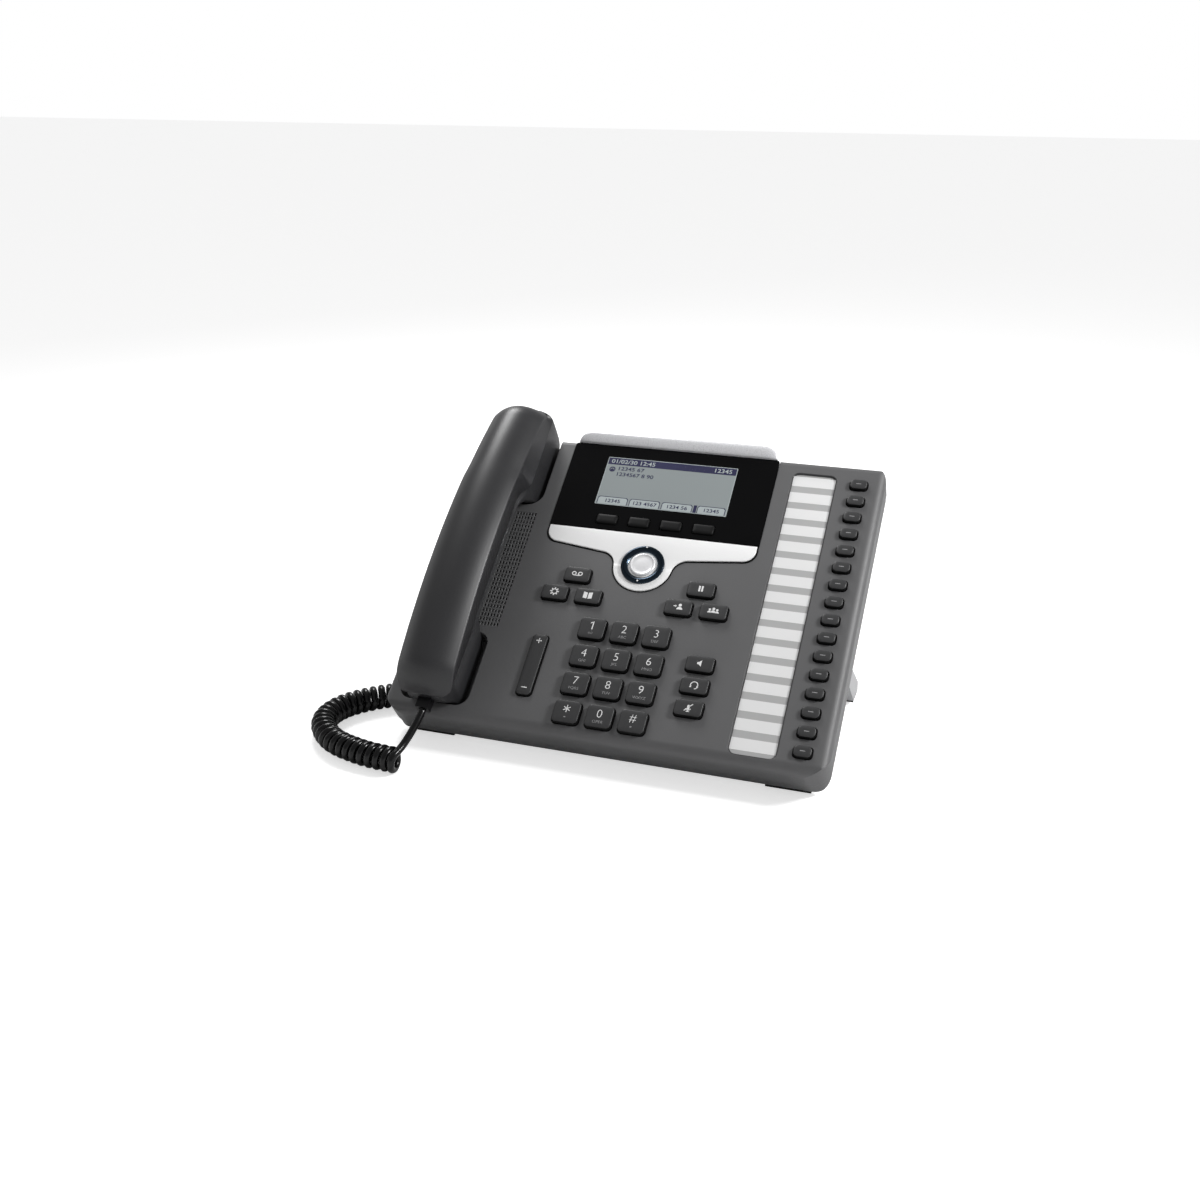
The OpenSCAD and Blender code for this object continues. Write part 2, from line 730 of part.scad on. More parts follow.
// Where the rubber sole begins and ends under the tip
sole_v = [100.5, 111.5];
leg_high = knuckle_r - 0.2;
function on_desk(v, up) = [v, desk_w(v) + up / c];
function leg_points() = [
    [hinge_v - leg_high, hinge_w],
    on_desk(tip_v[0], foot_t),
    on_desk(tip_v[1], foot_t),
    on_desk(heel_v, foot_t + heel_rise),
    [hinge_v + leg_high, hinge_w]
];
module leg_outline() {
    translate([hinge_v, hinge_w]) circle(leg_high);
    polygon(leg_points());
}
// The cross web's two edges, as parts of the way from the hinge to the tip
web_from = 0.36;
web_to = 0.94;
leg_axis_end = on_desk(106.5, foot_t);
function down_leg(k) = [hinge_v, hinge_w] * (1 - k) + leg_axis_end * k;
module foot_stand() color(stand_colour) on_panel() {
    for (side = [0, 1]) {
        across(leg_u(side), leg_w) leg_outline();
        translate([ears_u(side)[0], hinge_v, hinge_w]) rotate([0, 90, 0])
            cylinder(r = pivot_r, h = leg_w + 2 * ear_t + 2 * leg_gap);
    }
    a = down_leg(web_from);
    b = down_leg(web_to);
    n = [b[1] - a[1], a[0] - b[0]] / norm(b - a) * web_t / 2;
    across(leg_u(0) + leg_w - eps, leg_u(1) - leg_u(0) - leg_w + 2 * eps)
        polygon([a - n, b - n, b + n, a + n]);
}

sole_inset = 0.8;
stand_foot_w = leg_w - 2 * sole_inset;
module stand_feet() color(rubber_colour) for (side = [0, 1]) {
    a = row_point(concat([leg_u(side) + sole_inset], on_desk(sole_v[0], 0)));
    b = row_point(concat([leg_u(side) + sole_inset], on_desk(sole_v[1], 0)));
    translate([a[0], a[1], 0]) cube([stand_foot_w, b[1] - a[1], foot_t]);
}

// ---------------------------------------------------------------- hook switch

hook_top = -cradle_d - seat;
hook_flange_top = -cradle_d - wall - hook_travel - seat;
hook_flange = 1.5;
module hook_switch() color(key_colour) on_panel() at(hook_at) {
    translate([0, 0, hook_flange_top]) linear_extrude(hook_top - hook_flange_top) pad(hook_size, 1);
    translate([0, 0, hook_flange_top - hook_flange]) linear_extrude(hook_flange)
        pad(hook_size + 2 * hook_flange * [1, 1], 1);
}

// ---------------------------------------------------------------- keys

// Bevel round a cap's top: how far in, how far down, and the flat slab above it
bevel_in = 0.6;
bevel_down = 0.9;
top_slab = 0.3;
// A cap with a bevelled top, between two heights
module cap(size, r, low, high) hull() {
    translate([0, 0, low]) linear_extrude(high - bevel_down - low) pad(size, r, $fn = 24);
    translate([0, 0, high - top_slab]) linear_extrude(top_slab)
        pad(size - 2 * bevel_in * [1, 1], r - bevel_in + 0.1, $fn = 24);
}

// One key: its cap, a flange that stops it under the face, and a stem over its dome
module key(place, size, r, rise) at(place) {
    cap(size, r, flange_low, rise);
    translate([0, 0, flange_low]) linear_extrude(flange_t) pad(size + 2 * flange_w * [1, 1], r + flange_w);
    translate([0, 0, stem_low]) cylinder(r = stem_r, h = flange_low - stem_low + eps);
}

module number_key(i) color(key_colour) on_panel()
    key(number_at(i), [number_w, number_h], number_r, number_rise);
module function_key(i) color(key_colour) on_panel()
    key(function_places[i], [function_w, function_h], function_r, function_rise);
module soft_key(i) color(key_colour) on_panel() key(soft_at(i), [soft_w, soft_h], soft_r, soft_rise);

// Two line keys on one spring web below the face
line_web_w = 4;
module line_keys(pair) color(key_colour) on_panel() {
    for (i = [2 * pair, 2 * pair + 1]) key(line_at(i), [line_w, line_h], line_r, line_rise);
    a = line_at(2 * pair + 1);
    translate([a[0] - line_web_w / 2, a[1], flange_low]) cube([line_web_w, line_pitch, flange_t]);
}

// Rocker for the volume, on a pin across its middle
rocker_rise = 2.2;
rocker_hub = [rocker_w - 2, 8];
module volume_rocker() color(key_colour) on_panel() at(rocker_at) {
    cap([rocker_w, rocker_h], rocker_r, -wall + 0.2, rocker_rise);
    translate([0, 0, rocker_axis_w - rocker_pin_r]) linear_extrude(rocker_pin_r - rocker_axis_w)
        square(rocker_hub, center = true);
    translate([-rocker_post_in - rocker_post_t, 0, rocker_axis_w]) rotate([0, 90, 0])
        cylinder(r = rocker_pin_r, h = 2 * (rocker_post_in + rocker_post_t));
}

// Ring of the navigation key, rocking up and down about the select button
ring_rise = 2.4;
ring_bevel = [1.2, 0.8];
select_bevel = [1, 0.6];
// Room for the ring's edges as it rocks
ring_swing = 0.45;
ring_hole_r = select_r + key_gap;
ring_step_w = -2;
select_flange_r = select_r + 1.3;
ring_low = flange_low - ring_swing;
module nav_ring() color("#1d2733") on_panel() at(nav_at) difference() {
    union() {
        translate([0, 0, ring_low]) cylinder(r = ring_r, h = ring_rise - ring_bevel[1] - ring_low);
        translate([0, 0, ring_rise - ring_bevel[1] - eps])
            cylinder(r1 = ring_r, r2 = ring_r - ring_bevel[0], h = ring_bevel[1]);
        translate([0, 0, ring_low]) cylinder(r = ring_r + flange_w, h = flange_t);
    }
    translate([0, 0, -10]) cylinder(r = ring_hole_r, h = 20);
    translate([0, 0, -10]) cylinder(r = select_flange_r + key_gap, h = ring_step_w + 10);
}

module select_button() color("#d9dbdf") on_panel() at(nav_at) {
    translate([0, 0, flange_low]) cylinder(r = select_r, h = ring_rise - select_bevel[1] - flange_low);
    translate([0, 0, ring_rise - select_bevel[1] - eps])
        cylinder(r1 = select_r, r2 = select_r - select_bevel[0], h = select_bevel[1]);
    translate([0, 0, flange_low]) cylinder(r = select_flange_r, h = ring_step_w - fit - flange_low);
    translate([0, 0, stem_low]) cylinder(r = stem_r, h = flange_low - stem_low + eps);
}

// ---------------------------------------------------------------- handset

// Half width of the handset seen from in front
function half_width(v) = let (k = (v - handset_mid_v) / half_l)
    handset_w / 2 - waist * k * k - plan_r * rounded(past(v, plan_r), plan_r);

// Lean of the outer shell's side walls
lip = 1.2;
// How far the hollow runs past the shell's open side
open_end = 5;
// Cross section of the outer shell at v, drawn in by g
function outer_section(v, g) = let (
    half = half_width(v) - g,
    top = back_line(v) - g,
    edge = max(handset_split + 0.4, top - crown)
) concat(
    [[-half + lip, handset_split - (g > 0 ? open_end : 0)]],
    [for (k = [-6:6]) [half * k / 6, edge + (top - edge) * (1 - k * k / 36)]],
    [[half - lip, handset_split - (g > 0 ? open_end : 0)]]
);
// A section standing across the handset at v
function standing(v, points) = [for (p = points) [handset_u + p[0], v, p[1]]];
// A place along the handset, drawn in towards its middle by g at the ends
function drawn_in(v, g) = handset_mid_v + (v - handset_mid_v) * (half_l - g) / half_l;

module outer_loft(g) loft([for (v = handset_stations) standing(drawn_in(v, g), outer_section(v, g))]);

module handset_outer_shell() color(handset_colour) on_panel() difference() {
    outer_loft(0);
    outer_loft(handset_wall);
}

// Underside of the handset as [v, w, half width there]: mouthpiece, grip and earpiece
mouth_half = 18.5;
ear_half = 21.5;
grip_half = 15;
block_low = -cradle_d + fit;
under = [
    [handset_low_v + 0.6, handset_split - 4, 10],
    [handset_low_v + 2, 5, 13],
    [handset_low_v + 4.6, 1.4, 15],
    [handset_low_v + 7, block_low + 2.5, 16],
    [handset_low_v + 11, block_low, mouth_half],
    [handset_low_v + 45, block_low, mouth_half],
    [handset_low_v + 50, block_low + 3, mouth_half - 1],
    [handset_low_v + 56, 6, grip_half + 1],
    [handset_low_v + 68, grip_gap, grip_half],
    [handset_low_v + 135, grip_gap, grip_half],
    [handset_low_v + 147, 6, grip_half + 2],
    [handset_low_v + 154.5, block_low + 3, ear_half - 2],
    [handset_low_v + 158, block_low, ear_half],
    [handset_low_v + 196, block_low, ear_half],
    [handset_low_v + 201, block_low + 3, ear_half - 3],
    [handset_low_v + 205, 2, 17],
    [handset_low_v + 209, 8, 14],
    [handset_low_v + handset_l - 0.6, handset_split - 4, 10]
];
function under_section(p, g) = let (
    half = half_width(p[0]) - lip - g,
    side = p[2] - g,
    wide = max(half - 1, side),
    top = handset_split + (g > 0 ? 1 : 0),
    low = min(p[1] + g, handset_split - 3.6),
    curve = min(2.2, handset_split - 3.2 - low),
    right = [
        [half, top], [half, handset_split - 0.8], [wide, handset_split - 3],
        [side, low + curve], [side - 2.2, low]
    ]
) concat(right, [for (k = [4:-1:0]) [-right[k][0], right[k][1]]]);
module under_loft(g) loft([for (p = under) standing(drawn_in(p[0], g), under_section(p, g))]);

plug_w_at = 9.2;
mic_hole_r = 0.8;
mic_pitch = 3;
// Microphone and receiver, as [u, v, radius]
capsules = [[handset_u, handset_low_v + 30, 8], [handset_u, handset_low_v + handset_l - 34, 15]];
module handset_inner_shell() color(handset_colour) on_panel() difference() {
    under_loft(0);
    under_loft(handset_wall);
    translate([handset_u - plug_w / 2 - seat, handset_low_v - 10, plug_w_at - plug_h / 2 - seat])
        cube([plug_w + 2 * seat, 17, plug_h + 2 * seat]);
    for (p = capsules, k = [-2:2]) at(p) translate([mic_pitch * k, 0, block_low - 1])
        cylinder(r = mic_hole_r, h = handset_wall + 2, $fn = 8);
}

capsule_t = 7;
module handset_capsules() color("#56585c") on_panel() for (p = capsules)
    at(p) translate([0, 0, block_low + handset_wall + seat]) cylinder(r = p[2], h = capsule_t);

plug_long = 12;
module plug_body(low, w) translate([-plug_w / 2, low, w - plug_h / 2]) cube([plug_w, plug_long, plug_h]);
plug_low = handset_low_v - 6;
module handset_plug() color("#222224") on_panel() translate([handset_u, 0, 0]) plug_body(plug_low, plug_w_at);
base_plug_low = pocket_v[1] - plug_long + 6;
boot_long = 6;
boot_r = wire_d / 2 + 0.6;
module base_plug() color("#222224") on_panel() translate([handset_socket_u, 0, 0]) {
    plug_body(base_plug_low, socket_w);
    translate([0, base_plug_low - boot_long, socket_w]) rotate([-90, 0, 0])
        cylinder(r = boot_r, h = boot_long + eps);
}

// ---------------------------------------------------------------- cord

// The coil's centre line on the desk, as [x, y] from the body's lower left corner in the row frame
coil_route = [[27, -32], [2, -29], [-22, -20], [-38, -2], [-38, 18], [-25, 36], [-6, 50], [16, 60], [40, 65]];
coil_z = coil_d / 2 + 0.05;
// A point measured from the body's lower left corner, as [x, y, z]
function from_corner(p) = [p[0] - body_w / 2, p[1] + panel_y, p[2]];
coil_points = [for (p = coil_route) from_corner([p[0], p[1], coil_z])];
function unit(a) = a / norm(a);
// Directions in which the cord leaves the coil's two ends
coil_out = unit(coil_points[0] - coil_points[1]);
coil_end = coil_points[len(coil_points) - 1];
coil_end_out = unit(coil_end - coil_points[len(coil_points) - 2]);
// Length over which the cord runs straight out of a plug or out of the coil
straight = 4;
// Free stretches of the cord between the coil and the two plugs
tail_starts = [for (v = [seat, straight]) row_point([handset_u, plug_low - v, plug_w_at])];
tail_route = [[31.5, -15, 24], [33.5, -24, 17], [32.5, -30.5, 10]];
tail_points = concat(
    tail_starts, [for (p = tail_route) from_corner(p)],
    [coil_points[0] + straight * coil_out, coil_points[0] + fit * coil_out]
);
lead_route = [[56, 68, 5], [74, 70, 8], [87, 73, 22], [93, 82, 40.5]];
lead_ends = [for (v = [straight, seat])
    row_point([handset_socket_u, base_plug_low - boot_long - v, socket_w])];
lead_points = concat(
    [coil_end + fit * coil_end_out, coil_end + straight * coil_end_out],
    [for (p = lead_route) from_corner(p)], lead_ends
);

// Points on a smooth curve through the given ones
function spline_point(a, b, d, e, t) =
    0.5 * (2 * b + (d - a) * t + (2 * a - 5 * b + 4 * d - e) * t * t + (3 * b - a - 3 * d + e) * t * t * t);
// The i-th point of a row, which runs straight on past both ends
function beyond(p, i) = let (n = len(p)) i < 0 ? 2 * p[0] - p[1] : i == n ? 2 * p[n - 1] - p[n - 2] : p[i];
function smooth(p, steps) = let (n = len(p)) concat(
    [for (i = [0:n - 2], k = [0:steps - 1])
        spline_point(beyond(p, i - 1), p[i], p[i + 1], beyond(p, i + 2), k / steps)],
    [p[n - 1]]
);
// Ring of points round a line, turned from a steady side direction
function ring_at(points, i, r, sides, hint) = let (
    n = len(points),
    t = unit(points[min(i + 1, n - 1)] - points[max(i - 1, 0)]),
    a = unit(cross(t, hint)),
    b = cross(t, a)
) [for (k = [0:sides - 1]) points[i] + r * (a * cos(360 * k / sides) + b * sin(360 * k / sides))];
module tube(points, r, sides, hint) loft([for (i = [0:len(points) - 1]) ring_at(points, i, r, sides, hint)]);

module cord_tail() color(cord_colour) tube(smooth(tail_points, 3), wire_d / 2, 8, [1, 0, 0]);
module cord_lead() color(cord_colour) tube(smooth(lead_points, 4), wire_d / 2, 8, [0, 1, 0]);
module cord_coil() color(cord_colour) tube(smooth(coil_points, 4), coil_d / 2, 16, [0, 0, 1]);

// ---------------------------------------------------------------- the whole

front_housing();
back_cover();
display_window();
lcd_module();
nav_trim();
label_card();
message_bar();
circuit_board();
jack_block();
key_mat();
loudspeaker();
housing_screws();
front_feet();
foot_stand();
stand_feet();
hook_switch();
number_key(0);  // number_key_1
number_key(1);  // number_key_2
number_key(2);  // number_key_3
number_key(3);  // number_key_4
number_key(4);  // number_key_5
number_key(5);  // number_key_6
number_key(6);  // number_key_7
number_key(7);  // number_key_8
number_key(8);  // number_key_9
number_key(9);  // number_key_star
number_key(10);  // number_key_0
number_key(11);  // number_key_hash
function_key(0);  // messages_key
function_key(1);  // settings_key
function_key(2);  // contacts_key
function_key(3);  // hold_key
function_key(4);  // transfer_key
function_key(5);  // conference_key
function_key(6);  // speaker_key
function_key(7);  // headset_key
function_key(8);  // mute_key
soft_key(0);  // soft_key_1
soft_key(1);  // soft_key_2
soft_key(2);  // soft_key_3
soft_key(3);  // soft_key_4
line_keys(0);  // line_keys_01_02
line_keys(1);  // line_keys_03_04
line_keys(2);  // line_keys_05_06
line_keys(3);  // line_keys_07_08
line_keys(4);  // line_keys_09_10
line_keys(5);  // line_keys_11_12
line_keys(6);  // line_keys_13_14
line_keys(7);  // line_keys_15_16
volume_rocker();
nav_ring();
select_button();
handset_outer_shell();
handset_inner_shell();
handset_capsules();
handset_plug();
base_plug();
cord_tail();
cord_coil();
cord_lead();
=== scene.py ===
import json
import math

import bpy
from bpy.props import FloatProperty, FloatVectorProperty, PointerProperty
from mathutils import Matrix, Vector


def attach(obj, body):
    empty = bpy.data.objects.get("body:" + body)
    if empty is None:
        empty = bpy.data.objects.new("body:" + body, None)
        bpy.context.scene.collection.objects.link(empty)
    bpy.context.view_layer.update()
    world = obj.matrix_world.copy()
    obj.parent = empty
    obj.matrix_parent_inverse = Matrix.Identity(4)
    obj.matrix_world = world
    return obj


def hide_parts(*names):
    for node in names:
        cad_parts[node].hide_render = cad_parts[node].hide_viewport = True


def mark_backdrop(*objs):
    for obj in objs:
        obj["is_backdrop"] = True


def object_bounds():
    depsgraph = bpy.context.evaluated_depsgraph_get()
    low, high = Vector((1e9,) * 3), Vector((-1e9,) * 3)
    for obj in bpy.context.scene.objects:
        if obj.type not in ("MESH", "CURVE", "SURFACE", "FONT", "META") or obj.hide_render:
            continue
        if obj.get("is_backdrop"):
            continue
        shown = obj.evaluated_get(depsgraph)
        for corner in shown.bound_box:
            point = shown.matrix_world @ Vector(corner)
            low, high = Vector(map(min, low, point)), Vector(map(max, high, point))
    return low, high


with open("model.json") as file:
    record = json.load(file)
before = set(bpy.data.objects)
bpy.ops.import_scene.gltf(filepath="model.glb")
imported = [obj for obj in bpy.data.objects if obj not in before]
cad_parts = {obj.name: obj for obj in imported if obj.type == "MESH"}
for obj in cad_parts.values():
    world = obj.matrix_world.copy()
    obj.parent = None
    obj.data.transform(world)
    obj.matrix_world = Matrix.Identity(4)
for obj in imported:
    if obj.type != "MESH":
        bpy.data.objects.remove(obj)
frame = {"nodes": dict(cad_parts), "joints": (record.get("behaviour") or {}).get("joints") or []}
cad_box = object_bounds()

bl_info = {
    "name": "Desk telephone",
    "version": (1, 0, 0),
    "blender": (4, 5, 0),
    "location": "View3D > Sidebar > Telephone",
    "description": "Gives a desk telephone's solids their keys, legends, cord and finishes",
    "category": "Object",
}

MM = 0.001

# ---------------------------------------------------------------- places

# The panel frame lies in the phone's face: u to the right, v up the slope, w out of it. Its directions
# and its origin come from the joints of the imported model.
JOINTS = {joint["name"]: joint for joint in frame["joints"]}
OUT = Vector(JOINTS["handset_lift"]["axis"])
UP = Vector((0, OUT.z, -OUT.y))
RIGHT = Vector((1, 0, 0))
# The rocker's pin in the panel frame, in millimetres
ROCKER_PIN = (83.75, 41, -4.2)
ROCKER_AXIS = Vector(ROCKER_PIN) * MM
ORIGIN = Vector(JOINTS["volume_rocker_tilt"]["pos_m"]) - (
    ROCKER_AXIS.x * RIGHT + ROCKER_AXIS.y * UP + ROCKER_AXIS.z * OUT
)
PANEL = Matrix((RIGHT, UP, OUT)).transposed().to_4x4()
PANEL.translation = ORIGIN


def panel_box(node):
    """Lowest and highest corner of a CAD node in the panel frame, and its middle as (x, y), in millimetres."""
    back = PANEL.inverted()
    points = [back @ vertex.co / MM for vertex in frame["nodes"][node].data.vertices]
    low, high = (Vector([pick(p[i] for p in points) for i in range(3)]) for pick in (min, max))
    return low, high, ((low.x + high.x) / 2, (low.y + high.y) / 2)


# ---------------------------------------------------------------- outlines, as lists of (x, y)


def arc(x, y, r, start, end, steps):
    """Points on an arc from one angle to another, in degrees."""
    angles = [math.radians(start + (end - start) * k / steps) for k in range(steps + 1)]
    return [(x + r * math.cos(a), y + r * math.sin(a)) for a in angles]


def rounded(width, height, r, steps=6):
    """Rectangle round the origin with four round corners."""
    x, y = width / 2 - r, height / 2 - r
    return (
        arc(x, y, r, 0, 90, steps)
        + arc(-x, y, r, 90, 180, steps)
        + arc(-x, -y, r, 180, 270, steps)
        + arc(x, -y, r, 270, 360, steps)
    )


def moved(outline, x, y):
    return [(p[0] + x, p[1] + y) for p in outline]


def disc(x, y, r, steps=24):
    return arc(x, y, r, 0, 360 - 360 / steps, steps - 1)


def bar(x0, y0, x1, y1, thick):
    """A straight stroke between two points."""
    along = Vector((x1 - x0, y1 - y0)).normalized() * thick / 2
    side = Vector((-along.y, along.x))
    ends = (Vector((x0, y0)), Vector((x1, y1)))
    return [tuple(ends[i] + s * side) for i, s in ((0, -1), (1, -1), (1, 1), (0, 1))]


def band(x, y, r, thick, start, end):
    """A stroke along an arc, as quads."""
    steps = 20
    outer = arc(x, y, r + thick / 2, start, end, steps)
    inner = arc(x, y, r - thick / 2, start, end, steps)
    return [[inner[k], outer[k], outer[k + 1], inner[k + 1]] for k in range(steps)]


# ---------------------------------------------------------------- building a mesh

# Height of the font's capitals, as a share of its size
CAPITAL = 0.72


class Shape:
    """A mesh in the making, in millimetres of the panel frame."""

    def __init__(self):
        self.points, self.faces, self.marks = [], [], []

    def add(self, points, faces, mark=0):
        start = len(self.points)
        self.points += [tuple(p) for p in points]
        self.faces += [[start + i for i in face] for face in faces]
        self.marks += mark if isinstance(mark, list) else [mark] * len(faces)

    def loft(self, rings, mark=0, foot_mark=None):
        """A closed skin through rings of equal counts of points, with a cap on each end.

        foot_mark is for the first cap and the three bands above it."""
        n, last = len(rings[0]), len(rings) - 1
        faces = [
            [i * n + k, i * n + (k + 1) % n, (i + 1) * n + (k + 1) % n, (i + 1) * n + k]
            for i in range(last)
            for k in range(n)
        ]
        faces += [list(range(n))[::-1], [last * n + k for k in range(n)]]
        marks = [mark] * len(faces)
        if foot_mark is not None:
            marks[: 3 * n] = [foot_mark] * 3 * n
            marks[-2] = foot_mark
        self.add([p for ring in rings for p in ring], faces, marks)

    def prism(self, outline, low, high, mark=0):
        self.loft([[(x, y, z) for x, y in outline] for z in (low, high)], mark)

    def plate(self, outline_at, low, high, edge, crown=0, reach=0, foot_mark=None):
        """A plate whose upper edge is rounded. outline_at(inset) gives its outline drawn in by inset.

        Above the edge its top rises by crown over a width of reach."""
        rings = [(0, low), (0, high - crown - edge)]
        for angle in (22.5, 45, 67.5, 90):
            a = math.radians(angle)
            rings.append((edge * (1 - math.cos(a)), high - crown - edge * (1 - math.sin(a))))
        if crown:
            rings += [(edge + reach * t, high - crown * (1 - t) ** 2) for t in (0.35, 0.7, 1)]
        self.loft([[(x, y, z) for x, y in outline_at(inset)] for inset, z in rings], foot_mark=foot_mark)

    def text(self, words, height, x, y, low, thick, mark, wide, thin):
        """Printed words, centred on a point.

        height is that of a capital, wide stretches them sideways, and thin is what the strokes lose."""
        curve = bpy.data.curves.new("words", "FONT")
        curve.body, curve.size, curve.offset = words, height / CAPITAL, -thin / 2
        curve.align_x, curve.align_y = "CENTER", "CENTER"
        curve.extrude, curve.resolution_u = thick / 2, 4
        holder = bpy.data.objects.new("words", curve)
        bpy.context.scene.collection.objects.link(holder)
        graph = bpy.context.evaluated_depsgraph_get()
        mesh = bpy.data.meshes.new_from_object(holder.evaluated_get(graph))
        ys = [v.co.y for v in mesh.vertices]
        middle = (min(ys) + max(ys)) / 2
        points = [(x + v.co.x * wide, y + v.co.y - middle, low + thick / 2 + v.co.z) for v in mesh.vertices]
        self.add(points, [list(face.vertices) for face in mesh.polygons], mark)
        bpy.data.objects.remove(holder)
        bpy.data.curves.remove(curve)
        bpy.data.meshes.remove(mesh)

    def strokes(self, outlines, x, y, low, thick, mark):
        for outline in outlines:
            self.prism(moved(outline, x, y), low, low + thick, mark)

    def piece(self, name, materials, body, nodes, slot, sharp=38):
        """The finished object, its points in the shared frame, riding on its body in place of some nodes."""
        mesh = bpy.data.meshes.new(name)
        mesh.from_pydata([PANEL @ (Vector(p) * MM) for p in self.points], [], self.faces)
        mesh.polygons.foreach_set("material_index", self.marks)
        mesh.shade_smooth()
        mesh.set_sharp_from_angle(angle=math.radians(sharp))
        for material in materials:
            mesh.materials.append(material)
        made = bpy.data.objects.new(name, mesh)
        bpy.context.scene.collection.objects.link(made)
        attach(made, body)
        if nodes:
            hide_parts(*nodes)


# ---------------------------------------------------------------- materials


def to_linear(code):
    """An sRGB colour written in hexadecimal, as linear red, green, blue and alpha."""
    parts = [int(code[i : i + 2], 16) / 255 for i in (1, 3, 5)]
    return [p / 12.92 if p <= 0.04045 else ((p + 0.055) / 1.055) ** 2.4 for p in parts] + [1.0]


def add_node(tree, kind, inputs=None, **settings):
    """Adds a node, sets its properties, and sets or links its inputs."""
    node = tree.nodes.new(kind)
    for name, value in settings.items():
        setattr(node, name, value)
    for name, value in (inputs or {}).items():
        if isinstance(value, bpy.types.NodeSocket):
            tree.links.new(value, node.inputs[name])
        else:
            node.inputs[name].default_value = value
    return node


def new_finish(name, colour, roughness, **sockets):
    """A material with one Principled shader, its uniform values set on the shader's own sockets."""
    material = bpy.data.materials.new(name)
    material.use_nodes = True
    tree = material.node_tree
    shader = tree.nodes["Principled BSDF"]
    shader.inputs["Base Color"].default_value = colour
    shader.inputs["Roughness"].default_value = roughness
    for socket, value in sockets.items():
        shader.inputs[socket.replace("_", " ")].default_value = value
    return material, tree, shader


def per_metre(size_mm):
    """The scale at which a texture repeats once in so many millimetres."""
    return 1000 / size_mm


def shaded(colour, factor):
    """A colour made lighter or darker."""
    return [min(1, c * factor) for c in colour[:3]] + [1.0]


def add_grain(tree, shader, colour, grain_mm, depth, roughness, spread, edge_mm, drift):
    """Gives a finish fine grain, slow drifts of colour and sheen, and where edge_mm is set softly broken edges."""
    where = add_node(tree, "ShaderNodeTexCoord").outputs["Object"]
    slow = add_node(tree, "ShaderNodeTexNoise", {"Vector": where, "Scale": per_metre(45), "Detail": 2})
    fine = add_node(tree, "ShaderNodeTexNoise", {"Vector": where, "Scale": per_metre(grain_mm), "Detail": 3})
    ramp = add_node(tree, "ShaderNodeValToRGB", {"Fac": slow.outputs["Fac"]})
    ramp.color_ramp.elements[0].position, ramp.color_ramp.elements[1].position = 0.3, 0.7
    ramp.color_ramp.elements[0].color = shaded(colour, 1 - drift)
    ramp.color_ramp.elements[1].color = shaded(colour, 1 + drift)
    span = {"From Min": 0.3, "From Max": 0.7, "To Min": roughness - spread, "To Max": roughness + spread}
    sheen = add_node(tree, "ShaderNodeMapRange", {"Value": fine.outputs["Fac"], **span})
    relief = {"Strength": depth, "Distance": grain_mm * MM / 4, "Height": fine.outputs["Fac"]}
    bump = add_node(tree, "ShaderNodeBump", relief)
    if edge_mm:
        edge = add_node(tree, "ShaderNodeBevel", {"Radius": edge_mm * MM}, samples=4)
        tree.links.new(edge.outputs["Normal"], bump.inputs["Normal"])
    tree.links.new(ramp.outputs["Color"], shader.inputs["Base Color"])
    tree.links.new(sheen.outputs["Result"], shader.inputs["Roughness"])
    tree.links.new(bump.outputs["Normal"], shader.inputs["Normal"])


def made_once(build):
    """Wraps a finish so that every piece with it shares one material."""
    kept = {}

    def finish():
        if "material" not in kept:
            kept["material"] = build(bpy.context.scene.phone_colours)
        return kept["material"]

    return finish


def grained(name, colour, roughness, grain, depth, spread, shade=1, edge=0, drift=0.06, **sockets):
    """A finish of one colour, with the grain, drifts and edges of add_grain. grain and edge are in millimetres."""

    @made_once
    def build(colours):
        tone = shaded(getattr(colours, colour), shade)
        material, tree, shader = new_finish(name, tone, roughness, **sockets)
        add_grain(tree, shader, tone, grain, depth, roughness, spread, edge, drift)
        return material

    return build


# ABS, injection moulded in a spark-eroded mould: a dry, fine-grained satin that breaks up highlights.
# The grain is about 0.15 mm on the part and is drawn at 0.7 mm, because it would not show.
housing_abs = grained(
    "ABS, etched mould, charcoal", "housing", 0.5, grain=0.7, depth=0.25, spread=0.05, edge=0.5, IOR=1.53
)

# The same ABS from a smoother mould: a satin that shows one long soft highlight.
handset_abs = grained("ABS, satin mould, black", "handset", 0.4, grain=0.6, depth=0.1, spread=0.03, edge=0.3, IOR=1.53)

# Unpainted light grey ABS, etched like the housing.
stand_abs = grained(
    "ABS, etched mould, light grey", "stand", 0.5, grain=0.7, depth=0.2, spread=0.05, edge=0.5, drift=0.03, IOR=1.53
)

# Silicone rubber with a sprayed urethane coat: almost black, soft edged, slightly velvety.
key_silicone = grained(
    "Silicone rubber, coated, black", "key", 0.45, grain=0.5, depth=0.1, spread=0.05,
    IOR=1.43, Sheen_Weight=0.08, Sheen_Roughness=0.4,
)

# Painted shade: the key's wall gets a near black copy of the key's colour, so that the keys' sides read as the shade
# beside them.
painted_shade_black = grained(
    "Silicone rubber, bare, black", "key", 0.6, grain=0.5, depth=0.1, spread=0.05, shade=0.12, Specular_IOR_Level=0.15
)

# The soft keys have a blacker coat, so that they are at one with the window round them.
soft_key_silicone = grained(
    "Silicone rubber, coated, deep black", "key", 0.45, grain=0.5, depth=0.1, spread=0.05, shade=0.2,
    Specular_IOR_Level=0.15,
)

# Bare silicone rubber: grey, dull and slightly see-through at its edges.
mat_silicone = grained("Silicone rubber, grey", "mat", 0.6, grain=0.8, depth=0.1, spread=0.05, IOR=1.43)

# Pad-printed ink, which sits on the key and is a little rougher than it.
legend_ink = grained("Printed ink, white", "legend", 0.6, grain=0.4, depth=0.1, spread=0.05, IOR=1.5)
